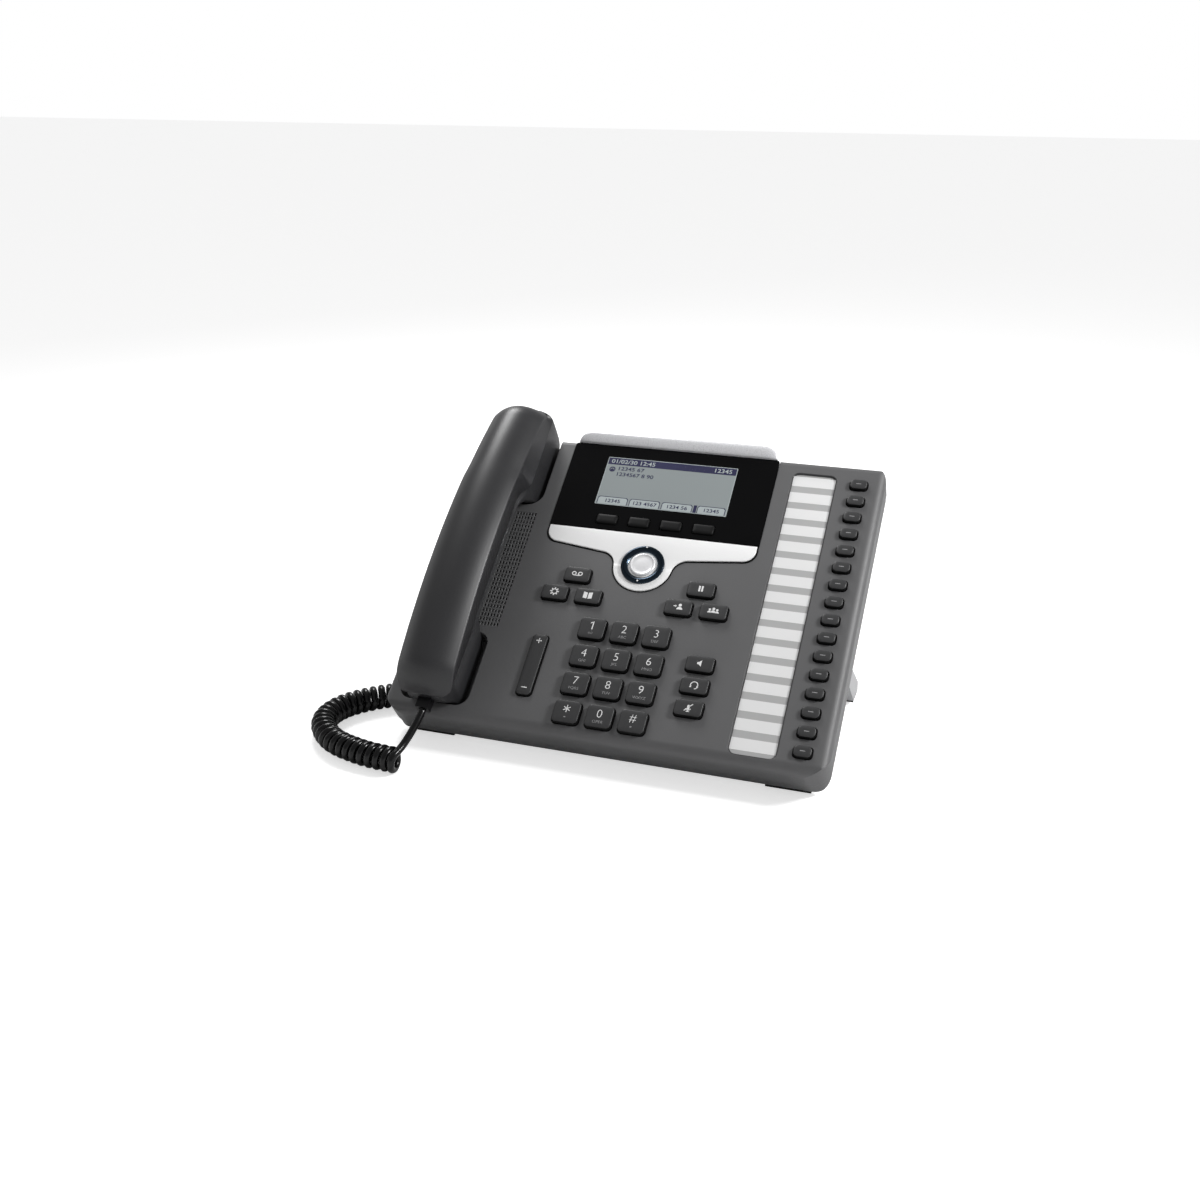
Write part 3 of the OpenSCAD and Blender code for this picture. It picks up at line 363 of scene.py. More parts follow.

# The small letters are printed thinner, so the black shows through them. The same grey paints a highlight bar on each
# line key.
faint_ink_and_highlight = grained("Printed ink, thin grey", "faint", 0.6, grain=0.4, depth=0.1, spread=0.05, IOR=1.5)

# Acrylic, printed black on its back, with a coat on its front that takes most of the gloss away.
window_acrylic = grained(
    "Acrylic, back printed, black", "window", 0.12, grain=3, depth=0.02, spread=0.02, drift=0.2,
    IOR=1.49, Specular_IOR_Level=0.12,
)

# The driven dots of the display's cell, which show dark blue.
screen_navy = grained(
    "Liquid crystal, driven", "screen_dark", 0.25, grain=0.6, depth=0.02, spread=0.03, drift=0.12,
    IOR=1.5, Coat_Weight=0.4,
)

# Where the cell's polariser ends, more light comes back: a thin pale edge.
screen_edge = grained(
    "Liquid crystal, pale", "screen", 0.3, grain=0.6, depth=0.02, spread=0.03, shade=1.6, drift=0.04,
    IOR=1.5, Coat_Weight=0.3,
)

# Silver lacquer on ABS: near white, with a fine flake that softens the gloss.
trim_lacquer = grained(
    "Lacquer, silver white", "trim", 0.3, grain=0.5, depth=0.05, spread=0.04, drift=0.02,
    IOR=1.5, Coat_Weight=0.3, Coat_Roughness=0.1,
)

# The same lacquer over a clear light guide: more metal shows, so it grades from white to grey.
bar_lacquer = grained(
    "Lacquer, silver metallic", "bar", 0.28, grain=0.5, depth=0.05, spread=0.04, drift=0.02,
    Metallic=0.15, Coat_Weight=0.3, Coat_Roughness=0.12,
)

# Black chrome plate on ABS: dark, cool and mirror-like along its edges.
ring_metal = grained("Black chrome plate", "ring", 0.22, grain=0.8, depth=0.03, spread=0.04, drift=0.15, Metallic=0.9)

# Satin chrome in the groove between the ring and the button.
ring_groove = grained("Satin chrome plate", "groove", 0.3, grain=0.8, depth=0.05, spread=0.05, drift=0.08, Metallic=1.0)

# Pearl chrome plate: bright, soft and almost white.
button_chrome = grained(
    "Pearl chrome plate", "button", 0.35, grain=0.6, depth=0.04, spread=0.04, drift=0.03, Metallic=0.3
)

# Zinc-plated steel: bluish, bright on the crests of its fine turning marks.
screw_steel = grained("Steel, zinc plated", "steel", 0.3, grain=0.3, depth=0.15, spread=0.08, drift=0.1, Metallic=1.0)

# Smooth printing paper under a clear cover: faint fibres, a light gloss.
label_paper = grained(
    "Paper, printed light", "label", 0.5, grain=1.2, depth=0.05, spread=0.05, drift=0.015, IOR=1.47, Coat_Weight=0.2
)

# The grey fields of the same sheet.
label_grey = grained(
    "Paper, printed grey", "label_dark", 0.5, grain=1.2, depth=0.05, spread=0.05, drift=0.02, IOR=1.47, Coat_Weight=0.2
)

# Thermoplastic rubber with a ground surface: matte black that greys where it rubs.
foot_rubber = grained(
    "Thermoplastic rubber, matte black", "rubber", 0.75, grain=0.6, depth=0.4, spread=0.08, edge=0.4, drift=0.2, IOR=1.5
)

# Extruded polyurethane jacket: smooth and glossy, with slight waves from the winding.
cord_rubber = grained(
    "Polyurethane jacket, glossy black", "cord", 0.22, grain=6, depth=0.15, spread=0.04, drift=0.2,
    Specular_IOR_Level=0.35,
)

# Polycarbonate of a modular plug, coloured near black as painted shade, so that the handset's plug sinks into the shade
# under the handset; a dull gloss.
plug_shade_black = grained(
    "Polycarbonate, smoked", "plug", 0.35, grain=2, depth=0.03, spread=0.03, drift=0.1,
    Specular_IOR_Level=0.25, Transmission_Weight=0.1,
)

# Glass-filled nylon, as moulded: dark with a faint mottle.
inner_nylon = grained("Glass-filled nylon, dark", "inner", 0.5, grain=1, depth=0.2, spread=0.08, drift=0.15, IOR=1.53)


@made_once
def screen_glass(colours):
    # The reflective liquid crystal cell: a grey green-blue behind the window, with a fine dot grid.
    # The dots are 0.3 mm apart and are drawn at 0.6 mm.
    colour = list(colours.screen)
    material, tree, shader = new_finish("Liquid crystal, grey", colour, 0.25, IOR=1.5, Coat_Weight=0.4)
    where = add_node(tree, "ShaderNodeTexCoord").outputs["Object"]
    dots = {"Vector": where, "Scale": per_metre(0.6), "Color1": shaded(colour, 0.97), "Color2": shaded(colour, 1.03)}
    grid = add_node(tree, "ShaderNodeTexChecker", dots)
    slow = add_node(tree, "ShaderNodeTexNoise", {"Vector": where, "Scale": per_metre(60), "Detail": 1})
    tones = {"Fac": slow.outputs["Fac"], "Color1": grid.outputs["Color"], "Color2": shaded(colour, 1.12)}
    blend = add_node(tree, "ShaderNodeMixRGB", tones)
    tree.links.new(blend.outputs["Color"], shader.inputs["Base Color"])
    return material


@made_once
def board_laminate(colours):
    # Glass-epoxy laminate under green solder mask, with the weave just showing.
    # The weave's threads are 0.5 mm apart.
    colour = list(colours.board)
    material, tree, shader = new_finish("Glass-epoxy laminate, green", colour, 0.35, IOR=1.55)
    where = add_node(tree, "ShaderNodeTexCoord").outputs["Object"]
    weave = add_node(tree, "ShaderNodeTexWave", {"Vector": where, "Scale": per_metre(0.5) / 3, "Distortion": 0.4})
    ramp = add_node(tree, "ShaderNodeValToRGB", {"Fac": weave.outputs["Fac"]})
    ramp.color_ramp.elements[0].color = shaded(colour, 0.85)
    ramp.color_ramp.elements[1].color = shaded(colour, 1.15)
    tree.links.new(ramp.outputs["Color"], shader.inputs["Base Color"])
    return material


# ---------------------------------------------------------------- sizes and colours that a user changes


def length(name, default_mm, note):
    return FloatProperty(name=name, description=note, default=default_mm * MM, unit="LENGTH", precision=4)


def colour(name, code, note):
    value = to_linear(code)
    return FloatVectorProperty(name=name, description=note, default=value, size=4, subtype="COLOR", min=0, max=1)


class PhoneSizes(bpy.types.PropertyGroup):
    """Sizes of what is added to the telephone's solids"""

    held_as = "phone_sizes"
    key_edge: length("Key edge", 0.8, "Radius of the rounded edge round a key's top")
    key_crown: length("Key crown", 0.15, "How much a key's top rises towards its middle")
    figure: length("Figure height", 5.4, "Height of the figures on the number keys")
    letter: length("Letter height", 1.8, "Height of the letters under the figures")
    ink: length("Ink", 0.04, "Thickness of the printed legends")
    crease: length("Handset crease", 2.2, "Radius of the edge between the handset's back and its sides")
    wire: length("Cord", 4.5, "Diameter of the handset cord")
    coil: length("Coil", 15.5, "Outer diameter of the cord's coil")
    pitch: length("Coil pitch", 5.1, "Distance from one turn of the coil to the next")


class PhoneColours(bpy.types.PropertyGroup):
    """Colours of the telephone's finishes"""

    held_as = "phone_colours"
    housing: colour("Housing", "#5b5b5c", "Charcoal of both housings")
    handset: colour("Handset", "#2b2b2d", "Black of the handset")
    key: colour("Keys", "#353536", "Black of the keys")
    legend: colour("Legends", "#e9e9e9", "Figures and signs on the keys")
    # The same grey paints the highlight bars on the line keys
    faint: colour("Letters", "#9c9c9d", "Small letters under the figures")
    window: colour("Window", "#0a0a0b", "Black round the display")
    screen: colour("Display", "#8c9394", "Display where nothing is written")
    screen_dark: colour("Display, dark", "#26264a", "Display where something is written")
    trim: colour("Trim", "#fafafa", "Trim round the navigation key")
    bar: colour("Message bar", "#e2e2e5", "Bar on the top edge")
    ring: colour("Ring", "#27323d", "Navigation ring")
    groove: colour("Groove", "#7d878e", "Groove inside the ring")
    button: colour("Button", "#f3f3f5", "Select button")
    label: colour("Labels", "#e6e6e6", "Light fields of the labels")
    label_dark: colour("Labels, grey", "#aeaeae", "Grey fields of the labels")
    stand: colour("Stand", "#a2a2a4", "Foot stand")
    rubber: colour("Rubber", "#232323", "Feet")
    cord: colour("Cord", "#080809", "Handset cord")
    # Near black as painted shade, so that the handset's plug reads as shade
    plug: colour("Plugs", "#111113", "Plugs of the handset cord")
    board: colour("Board", "#1f5b3b", "Circuit board")
    mat: colour("Key mat", "#77797c", "Rubber mat under the keys")
    inner: colour("Inner parts", "#0e0e10", "Sockets and loudspeaker")
    steel: colour("Screws", "#a9adb2", "Housing screws")


class PhoneStudio(bpy.types.PropertyGroup):
    """Camera and light"""

    held_as = "phone_studio"
    eye: FloatVectorProperty(
        name="Camera",
        description="Where the camera stands",
        default=(0.22569, -0.73793, 0.38574),
        subtype="TRANSLATION",
        unit="LENGTH",
    )
    azimuth: FloatProperty(
        name="Turn", description="Turn of the camera from straight ahead", default=math.radians(18.74), subtype="ANGLE"
    )
    dip: FloatProperty(
        name="Dip", description="Dip of the camera below level", default=math.radians(21.94), subtype="ANGLE"
    )
    lens: FloatProperty(name="Lens", description="Focal length on a 36 mm sensor", default=41.48, unit="CAMERA")
    key_power: FloatProperty(name="Key light", description="Power of the light overhead", default=4.6, unit="POWER")
    side_power: FloatProperty(name="Side light", description="Power of the light beside", default=5.2, unit="POWER")
    sky: FloatProperty(name="Sky", description="Strength of the even light from all sides", default=0.34)
    ceiling: FloatProperty(name="Ceiling", description="Brightness overhead in reflections", default=0.3)
    floor: colour("Floor", "#f4f4f4", "Floor")
    floor_glow: FloatProperty(name="Floor glow", description="What the camera sees added to the floor", default=0.6)


# ---------------------------------------------------------------- signs of the function keys, in millimetres


def gear():
    teeth = [bar(*disc(0, 0, 1.8, 8)[k], *disc(0, 0, 2.8, 8)[k], 0.8) for k in range(8)]
    return band(0, 0, 1.6, 0.6, 0, 360) + teeth


def person(x, y, size):
    """Head and shoulders"""
    body = arc(x, y - 2.4 * size, 1.45 * size, 0, 180, 10)
    return [disc(x, y, 0.8 * size, 16), body]


SIGNS = {
    "messages_key": band(-1.95, 0.2, 1.15, 0.6, 0, 360)
    + band(1.95, 0.2, 1.15, 0.6, 0, 360)
    + [bar(-1.95, -1.1, 1.95, -1.1, 0.6)],
    "settings_key": gear(),
    "contacts_key": [
        [(-2.8, -1.9), (-0.35, -2.3), (-0.35, 1.9), (-2.8, 2.3)],
        [(0.35, -2.3), (2.8, -1.9), (2.8, 2.3), (0.35, 1.9)],
    ],
    "hold_key": [bar(-0.85, -1.9, -0.85, 1.9, 1.05), bar(0.85, -1.9, 0.85, 1.9, 1.05)],
    "transfer_key": person(1.1, 1.2, 1.25) + [bar(-2.9, 0.4, -1.5, 0.4, 0.5), [(-1.7, -0.4), (-0.7, 0.4), (-1.7, 1.2)]],
    "conference_key": person(0, 1.5, 1.1) + person(-2.2, 0.9, 0.9) + person(2.2, 0.9, 0.9),
    "speaker_key": [[(-1.5, -0.7), (-0.6, -0.7), (1.0, -2.1), (1.0, 2.1), (-0.6, 0.7), (-1.5, 0.7)]],
    "headset_key": band(0, 0, 2.1, 0.5, -25, 205)
    + [bar(-1.95, -1.6, -1.95, -0.2, 0.9), bar(1.95, -1.6, 1.95, -0.2, 0.9), bar(1.8, -1.9, 0.4, -2.4, 0.45)],
    "mute_key": [
        rounded(1.5, 3.0, 0.7),
        bar(-2.2, -2.3, 2.2, 2.3, 0.45),
        bar(0, -2.5, 0, -1.8, 0.45),
        bar(-1.0, -2.6, 1.0, -2.6, 0.4),
    ]
    + band(0, -0.2, 1.6, 0.4, 200, 340),
}

FIGURES = {
    "number_key_1": ("1", "oo"),
    "number_key_2": ("2", "ABC"),
    "number_key_3": ("3", "DEF"),
    "number_key_4": ("4", "GHI"),
    "number_key_5": ("5", "JKL"),
    "number_key_6": ("6", "MNO"),
    "number_key_7": ("7", "PQRS"),
    "number_key_8": ("8", "TUV"),
    "number_key_9": ("9", "WXYZ"),
    "number_key_star": ("*", ""),
    "number_key_0": ("0", "OPER"),
    "number_key_hash": ("#", ""),
}

LINE_NODES = sorted(node for node in frame["nodes"] if node.startswith("line_keys"))
# Distance from one line key to the next, and height of the light label field beside each
LINE_PITCH = 12.03
FIELD_H = 7.4
# Width and height of what the display shows
SCREEN = (83.2, 35.9)

# Which of the display's finishes is for what: the cell at rest, driven, and the light edge round it
CELL, NAVY, RIM = range(3)

# Shared shape of every push key under the face, in millimetres
FLANGE_REACH = 1.1
FLANGE_THICK = 1.0
STEM_R = 1.7
STEM_LONG = 2.8
# Width of the rocker's face and radius of the navigation ring's
ROCKER_W = 9.4
RING_R = 13.4
# Height on a number key of its figure, its star and its letters, from the key's middle
FIGURE_V = 1.5
STAR_V = 1.6
LETTER_V = -3.7
# Which of a key's finishes is for what, after the coated top: wall in painted shade, signs, small letters and painted
# highlights
SHADE_WALL, INK, FAINT_AND_HIGHLIGHT = 1, 2, 3


def cap(shape, x, y, width, height, corner, low, high, sizes):
    """A key's cap with its rounded top edge, its flange and its stem"""
    edge, crown = sizes.key_edge / MM, sizes.key_crown / MM

    def outline(inset):
        return moved(rounded(width - 2 * inset, height - 2 * inset, max(corner - inset, 0.15)), x, y)

    # The wall under the rounded edge, the flange and the stem are in painted shade
    shape.plate(outline, low, high, edge, crown=crown, reach=min(width, height) * 0.2, foot_mark=SHADE_WALL)
    flange = rounded(width + 2 * FLANGE_REACH, height + 2 * FLANGE_REACH, corner + FLANGE_REACH)
    shape.prism(moved(flange, x, y), low, low + FLANGE_THICK, SHADE_WALL)
    shape.prism(disc(x, y, STEM_R), low - STEM_LONG, low, SHADE_WALL)


def key_finishes():
    return [key_silicone(), painted_shade_black(), legend_ink(), faint_ink_and_highlight()]


def key_from(node, corner, sizes):
    """Starts a key from its CAD node: the shape, its middle, and the height of its top"""
    low, high, (x, y) = panel_box(node)
    width, height = high.x - low.x - 2 * FLANGE_REACH, high.y - low.y - 2 * FLANGE_REACH
    shape = Shape()
    cap(shape, x, y, width, height, corner, low.z + STEM_LONG, high.z, sizes)
    return shape, x, y, high.z


# ---------------------------------------------------------------- operators


class PHONE_OT_housing(bpy.types.Operator):
    """Finish both housings, the feet and everything inside them"""

    bl_idname = "phone.housing"
    bl_label = "Housing"

    def execute(self, context):
        finishes = {
            "front_housing": housing_abs,
            "back_cover": housing_abs,
            "display_window": window_acrylic,
            "front_feet": foot_rubber,
            "circuit_board": board_laminate,
            "jack_block": inner_nylon,
            "key_mat": mat_silicone,
            "loudspeaker": inner_nylon,
            "lcd_module": inner_nylon,
            "housing_screws": screw_steel,
            "hook_switch": key_silicone,
            "handset_capsules": inner_nylon,
            # The plugs are near black as painted shade
            "handset_plug": plug_shade_black,
            "base_plug": plug_shade_black,
            "foot_stand": stand_abs,
            "stand_feet": foot_rubber,
        }
        for node, finish in finishes.items():
            for slot in frame["nodes"][node].material_slots:
                slot.material = finish()
        return {"FINISHED"}


class PHONE_OT_display(bpy.types.Operator):
    """Build what the display shows, in thin layers on its window"""

    bl_idname = "phone.display"
    bl_label = "Display"

    def execute(self, context):
        top = panel_box("display_window")[1].z
        middle, v = panel_box("lcd_module")[2]
        # The layers lie on the window, so that they read as one surface with it
        cell_w, cell_h = SCREEN
        shown = Shape()
        ink = context.scene.phone_sizes.ink / MM
        left, right, foot = middle - cell_w / 2, middle + cell_w / 2, v - cell_h / 2
        shown.prism(moved(rounded(cell_w + 1, cell_h + 1, 0.5), middle, v), top, top + ink, RIM)
        shown.prism(moved(rounded(cell_w, cell_h, 0.3), middle, v), top, top + 2 * ink, CELL)
        head_h = 5.2
        head_v = v + (cell_h - head_h) / 2
        shown.prism(moved(rounded(cell_w, head_h, 0.3), middle, head_v), top, top + 3 * ink, NAVY)
        shown.text("01/02/30 12:45", 3, left + 16.5, head_v, top, 4 * ink, RIM, 1.15, -0.1)
        shown.text("12345", 3, right - 8.5, head_v, top, 4 * ink, RIM, 1.15, -0.1)
        # A sign for the line and two rows of figures
        row_v = head_v - 5.4
        shown.strokes([disc(0, 0, 2)], left + 4, row_v - 1, top, 3 * ink, NAVY)
        shown.strokes(band(0, -0.3, 1.1, 0.4, 0, 180), left + 4, row_v - 1, top, 4 * ink, CELL)
        shown.text("12345 67", 2.8, left + 16, row_v, top, 3 * ink, NAVY, 1.2, -0.12)
        shown.text("1234567 8 90", 2.8, left + 19.5, row_v - 4.4, top, 3 * ink, NAVY, 1.15, -0.12)
        # Four tabs over the soft keys, and a dark field before the last
        tab_h, pitch = 5.6, cell_w / 4
        for k, words in enumerate(("12345", "123 4567", "1234 56", "12345")):
            tab_w = pitch - (3.2 if k == 3 else 1.2)
            tab_u = right - tab_w / 2 - 0.6 if k == 3 else left + (k + 0.5) * pitch
            tab_v = foot + tab_h / 2
            for inset, mark, layer in ((0, NAVY, 2.6), (0.45, RIM, 3)):
                x, y = tab_w / 2 - inset, tab_h / 2 - inset
                tab = [(-x, -tab_h / 2), (x, -tab_h / 2), (x, y - 1), (x - 1, y), (1 - x, y), (-x, y - 1)]
                shown.strokes([tab], tab_u, tab_v, top, layer * ink, mark)
            shown.text(words, 2.6, tab_u, tab_v - 0.2, top, 3.6 * ink, NAVY, 1.15, -0.12)
        shown.strokes([rounded(2, tab_h, 0.1, 1)], right - pitch + 1.1, foot + tab_h / 2, top, 2.8 * ink, NAVY)
        shown.piece("screen", [screen_glass(), screen_navy(), screen_edge()], "base", (), "lcd")
        return {"FINISHED"}


# The silver trim seen square on, in millimetres: half its width, the place and radius of its lower corners, the
# fall of its lower edge in degrees, the round dip under the ring, the fillet between them, and the painted shadow gap
# round it
TRIM_HALF = 66.4
TRIM_END_V = 128
TRIM_END_R = 8
TRIM_FALL = 6.9
TRIM_DIP_R = 18.9
TRIM_FILLET = 9
TRIM_SHADOW_GAP = 0.75

# The message bar: how far its ends stay inside the window and how long they sink, its gap to the window, the
# height of its foot, how thick it is, and its section as (v, w) from the foot: a step, a soft rise, and the back
BAR_INSET = 1.6
BAR_ROUND = 9
BAR_GAP = 0.3
BAR_FOOT_W = 0.5
BAR_LONG = 8
BAR_DEEP = 11.5
BAR_SECTION = (
    (0, -0.4), (0, 1.2), (0.3, 1.8), (1, 2.3), (2.5, 3), (4, 3.5), (5.5, 3.8), (6.6, 3.7), (7.3, 3.2), (7.8, 2.4),
    (BAR_LONG, 1.2),
)


def trim_outline(middle, nav_v, top_v, inset):
    """The silver trim seen square on, drawn in by inset"""
    half, r, f = TRIM_HALF - inset, TRIM_DIP_R - inset, TRIM_FILLET + inset
    fall = math.radians(TRIM_FALL)
    along, up = Vector((math.cos(fall), math.sin(fall))), Vector((-math.sin(fall), math.cos(fall)))
    end = Vector((half - TRIM_END_R, TRIM_END_V + TRIM_END_R + inset))
    dip = Vector((0, nav_v))
    drop = up.dot(dip - (end - TRIM_END_R * up))
    fillet = dip - up * (f + drop) + along * math.sqrt((r + f) ** 2 - (f + drop) ** 2)
    meet = math.degrees(math.atan2(fillet.y - dip.y, fillet.x - dip.x))
    right = (
        arc(dip.x, dip.y, r, -90, meet, 16)
        + arc(fillet.x, fillet.y, f, meet + 180, 90 + TRIM_FALL, 8)
        + arc(end.x, end.y, TRIM_END_R, TRIM_FALL - 90, 0, 8)
        + [(half, top_v - inset)]
    )
    left = [(-x, y) for x, y in reversed(right)]
    return moved(right + left[:-1], middle, 0)


class PHONE_OT_trim(bpy.types.Operator):
    """Build the silver trim round the navigation key and the message bar"""

    bl_idname = "phone.trim"
    bl_label = "Trim and message bar"

    def execute(self, context):
        low, high, _ = panel_box("nav_trim")
        middle, nav_v = panel_box("nav_ring")[2]
        shape = Shape()
        # Painted shadow: a black band in the painted shade finish lies round the silver plate in the housing's recess
        shape.prism(trim_outline(middle, nav_v, high.y, 0), low.z, 0.04, 1)
        shape.plate(lambda inset: trim_outline(middle, nav_v, high.y, inset + TRIM_SHADOW_GAP), low.z, high.z, 0.4)
        shape.piece("trim", [trim_lacquer(), painted_shade_black()], "base", ["nav_trim"], "trim")
        # The bar is one long bead, which sinks in a long quarter round towards each end
        low, high, (x, _) = panel_box("message_bar")
        foot_v = panel_box("display_window")[1].y + BAR_GAP
        half = (high.x - low.x) / 2 - BAR_INSET
        turns = [math.radians(a) for a in range(90, 8, -9)]
        ends = [(half - BAR_ROUND * (1 - math.cos(a)), math.sin(a)) for a in turns]
        rings = []
        for u, full in [(-u, full) for u, full in reversed(ends)] + ends:
            ring = [(v * full, w * full) for v, w in BAR_SECTION] + [(BAR_LONG * full, -BAR_DEEP), (0, -BAR_DEEP)]
            rings.append([(x + u, foot_v + v, BAR_FOOT_W + w) for v, w in ring[::-1]])
        bar_shape = Shape()
        bar_shape.loft(rings)
        bar_shape.piece("message_light", [bar_lacquer()], "base", ["message_bar"], "bar", sharp=50)
        return {"FINISHED"}


class PHONE_OT_labels(bpy.types.Operator):
    """Build the sheet of sixteen labels beside the line keys"""

    bl_idname = "phone.labels"
    bl_label = "Labels"

    def execute(self, context):
        low, high, (x, y) = panel_box("label_card")
        width, height = high.x - low.x - 1, high.y - low.y - 1
        top = high.z - 0.4
        shape = Shape()
        shape.prism(moved(rounded(width, height, 3.8), x, y), low.z, top, 1)
        # One light field beside each line key
        for node in LINE_NODES:
            for side in (-0.5, 0.5):
                v = panel_box(node)[2][1] + side * LINE_PITCH
                shape.strokes([rounded(width - 0.02, FIELD_H, 0.05, 1)], x, v, top, 0.04, 0)
        shape.piece("label_sheet", [label_paper(), label_grey()], "base", ["label_card"], "label")
        return {"FINISHED"}


class PHONE_OT_number_keys(bpy.types.Operator):
    """Build the twelve number keys with their figures"""

    bl_idname = "phone.number_keys"
    bl_label = "Number keys"

    def execute(self, context):
        sizes = context.scene.phone_sizes
        ink = sizes.ink / MM
        for node, (figure, letters) in FIGURES.items():
            shape, x, y, top = key_from(node, 2.6, sizes)
            tall = sizes.figure / MM
            if figure == "*":
                spokes = [bar(0, 0, *tip, 0.5) for tip in arc(0, 0, 2.3, 30, 330, 5)]
                shape.strokes(spokes, x, y + STAR_V, top, ink, INK)
            elif figure == "1":
                crest = tall / 2
                flag = [(0.3, crest), (-1.3, crest - 0.9), (-1.3, crest - 1.55), (0.3, crest - 0.65)]
                shape.strokes([bar(0.3, -crest, 0.3, crest, 0.66), flag], x, y + FIGURE_V, top, ink, INK)
            else:
                shape.text(figure, tall, x, y + FIGURE_V, top, ink, INK, 0.95, 0.2)
            if letters:
                shape.text(letters, sizes.letter / MM, x, y + LETTER_V, top, ink, FAINT_AND_HIGHLIGHT, 1.05, 0.05)
            else:
                shape.strokes([rounded(1.1, 0.6, 0.2)], x, y + LETTER_V, top, ink, FAINT_AND_HIGHLIGHT)
            shape.piece(node.replace("key", "cap"), key_finishes(), node, [node], "key")
        return {"FINISHED"}


class PHONE_OT_function_keys(bpy.types.Operator):
    """Build the nine function keys with their signs, and the soft keys"""

    bl_idname = "phone.function_keys"
    bl_label = "Function and soft keys"

    def execute(self, context):
        sizes = context.scene.phone_sizes
        for node, sign in SIGNS.items():
            shape, x, y, top = key_from(node, 2.0, sizes)
            shape.strokes(sign, x, y, top, sizes.ink / MM, INK)
            shape.piece(node.replace("key", "cap"), key_finishes(), node, [node], "key")
        for k in range(1, 5):
            node = f"soft_key_{k}"
            shape = key_from(node, 1.2, sizes)[0]
            # Their walls are in painted shade
            shape.piece(f"soft_cap_{k}", [soft_key_silicone(), painted_shade_black()], node, [node], "key")
        return {"FINISHED"}


class PHONE_OT_line_keys(bpy.types.Operator):
    """Build the sixteen line keys, two on each spring web"""

    bl_idname = "phone.line_keys"
    bl_label = "Line keys"

    def execute(self, context):
        sizes = context.scene.phone_sizes
        for node in LINE_NODES:
            low, high, (x, mid) = panel_box(node)
            width = high.x - low.x - 2 * FLANGE_REACH
            height = high.y - low.y - 2 * FLANGE_REACH - LINE_PITCH
            foot = low.z + STEM_LONG
            shape = Shape()
            for side in (-0.5, 0.5):
                v = mid + side * LINE_PITCH
                cap(shape, x, v, width, height, 2.6, foot, high.z, sizes)
                # Painted highlight: a short pale bar in the letters' grey across the cap's middle
                shape.strokes([rounded(3, 0.4, 0.1, 1)], x, v, high.z, sizes.ink / MM, FAINT_AND_HIGHLIGHT)
            web = moved(rounded(4, LINE_PITCH - height, 0.1, 1), x, mid)
            shape.prism(web, foot, foot + FLANGE_THICK, SHADE_WALL)
            shape.piece(node.replace("keys", "caps"), key_finishes(), node, [node], "line_key")
        return {"FINISHED"}


class PHONE_OT_rocker(bpy.types.Operator):
    """Build the volume rocker with its plus and minus"""

    bl_idname = "phone.rocker"
    bl_label = "Volume rocker"

    def execute(self, context):
        sizes = context.scene.phone_sizes
        low, high, (x, y) = panel_box("volume_rocker")
        height = high.y - low.y
        shape = Shape()

        def outline(inset):
            return moved(rounded(ROCKER_W - 2 * inset, height - 2 * inset, 2.5 - inset), x, y)

        # The face, its wall in painted shade, the web under it and the pin through the web
        shape.plate(outline, -2.3, high.z, 0.9, crown=0.2, reach=1.6, foot_mark=SHADE_WALL)
        shape.prism(moved(rounded(ROCKER_W - 2, 8, 0.3), x, y), low.z, -2.2, SHADE_WALL)
        pin = [[(u, v, ROCKER_PIN[2] + w) for v, w in moved(disc(0, 0, 1), y, 0)] for u in (low.x, high.x)]
        shape.loft(pin, SHADE_WALL)
        ink = sizes.ink / MM
        minus, upright = bar(-1.7, 0, 1.7, 0, 0.55), bar(0, -1.7, 0, 1.7, 0.55)
        shape.strokes([minus], x, y - height / 2 + 4.6, high.z, ink, INK)
        shape.strokes([minus, upright], x, y + height / 2 - 4.8, high.z, ink, INK)
        shape.piece("volume_cap", key_finishes(), "rocker", ["volume_rocker"], "key")
        return {"FINISHED"}


def turned(shape, x, y, profile, marks):
    """A turned ring. profile gives (radius, w) once round its section, and marks its edges' finishes."""
    rings, steps = [], 72
    for k in range(steps):
        a = 2 * math.pi * k / steps
        rings.append([(x + r * math.cos(a), y + r * math.sin(a), w) for r, w in profile])
    n = len(profile)
    points = [p for ring in rings for p in ring]
    faces = [
        [i * n + k, ((i + 1) % steps) * n + k, ((i + 1) % steps) * n + (k + 1) % n, i * n + (k + 1) % n]
        for i in range(steps)
        for k in range(n)
    ]
    shape.add(points, faces, marks * steps)


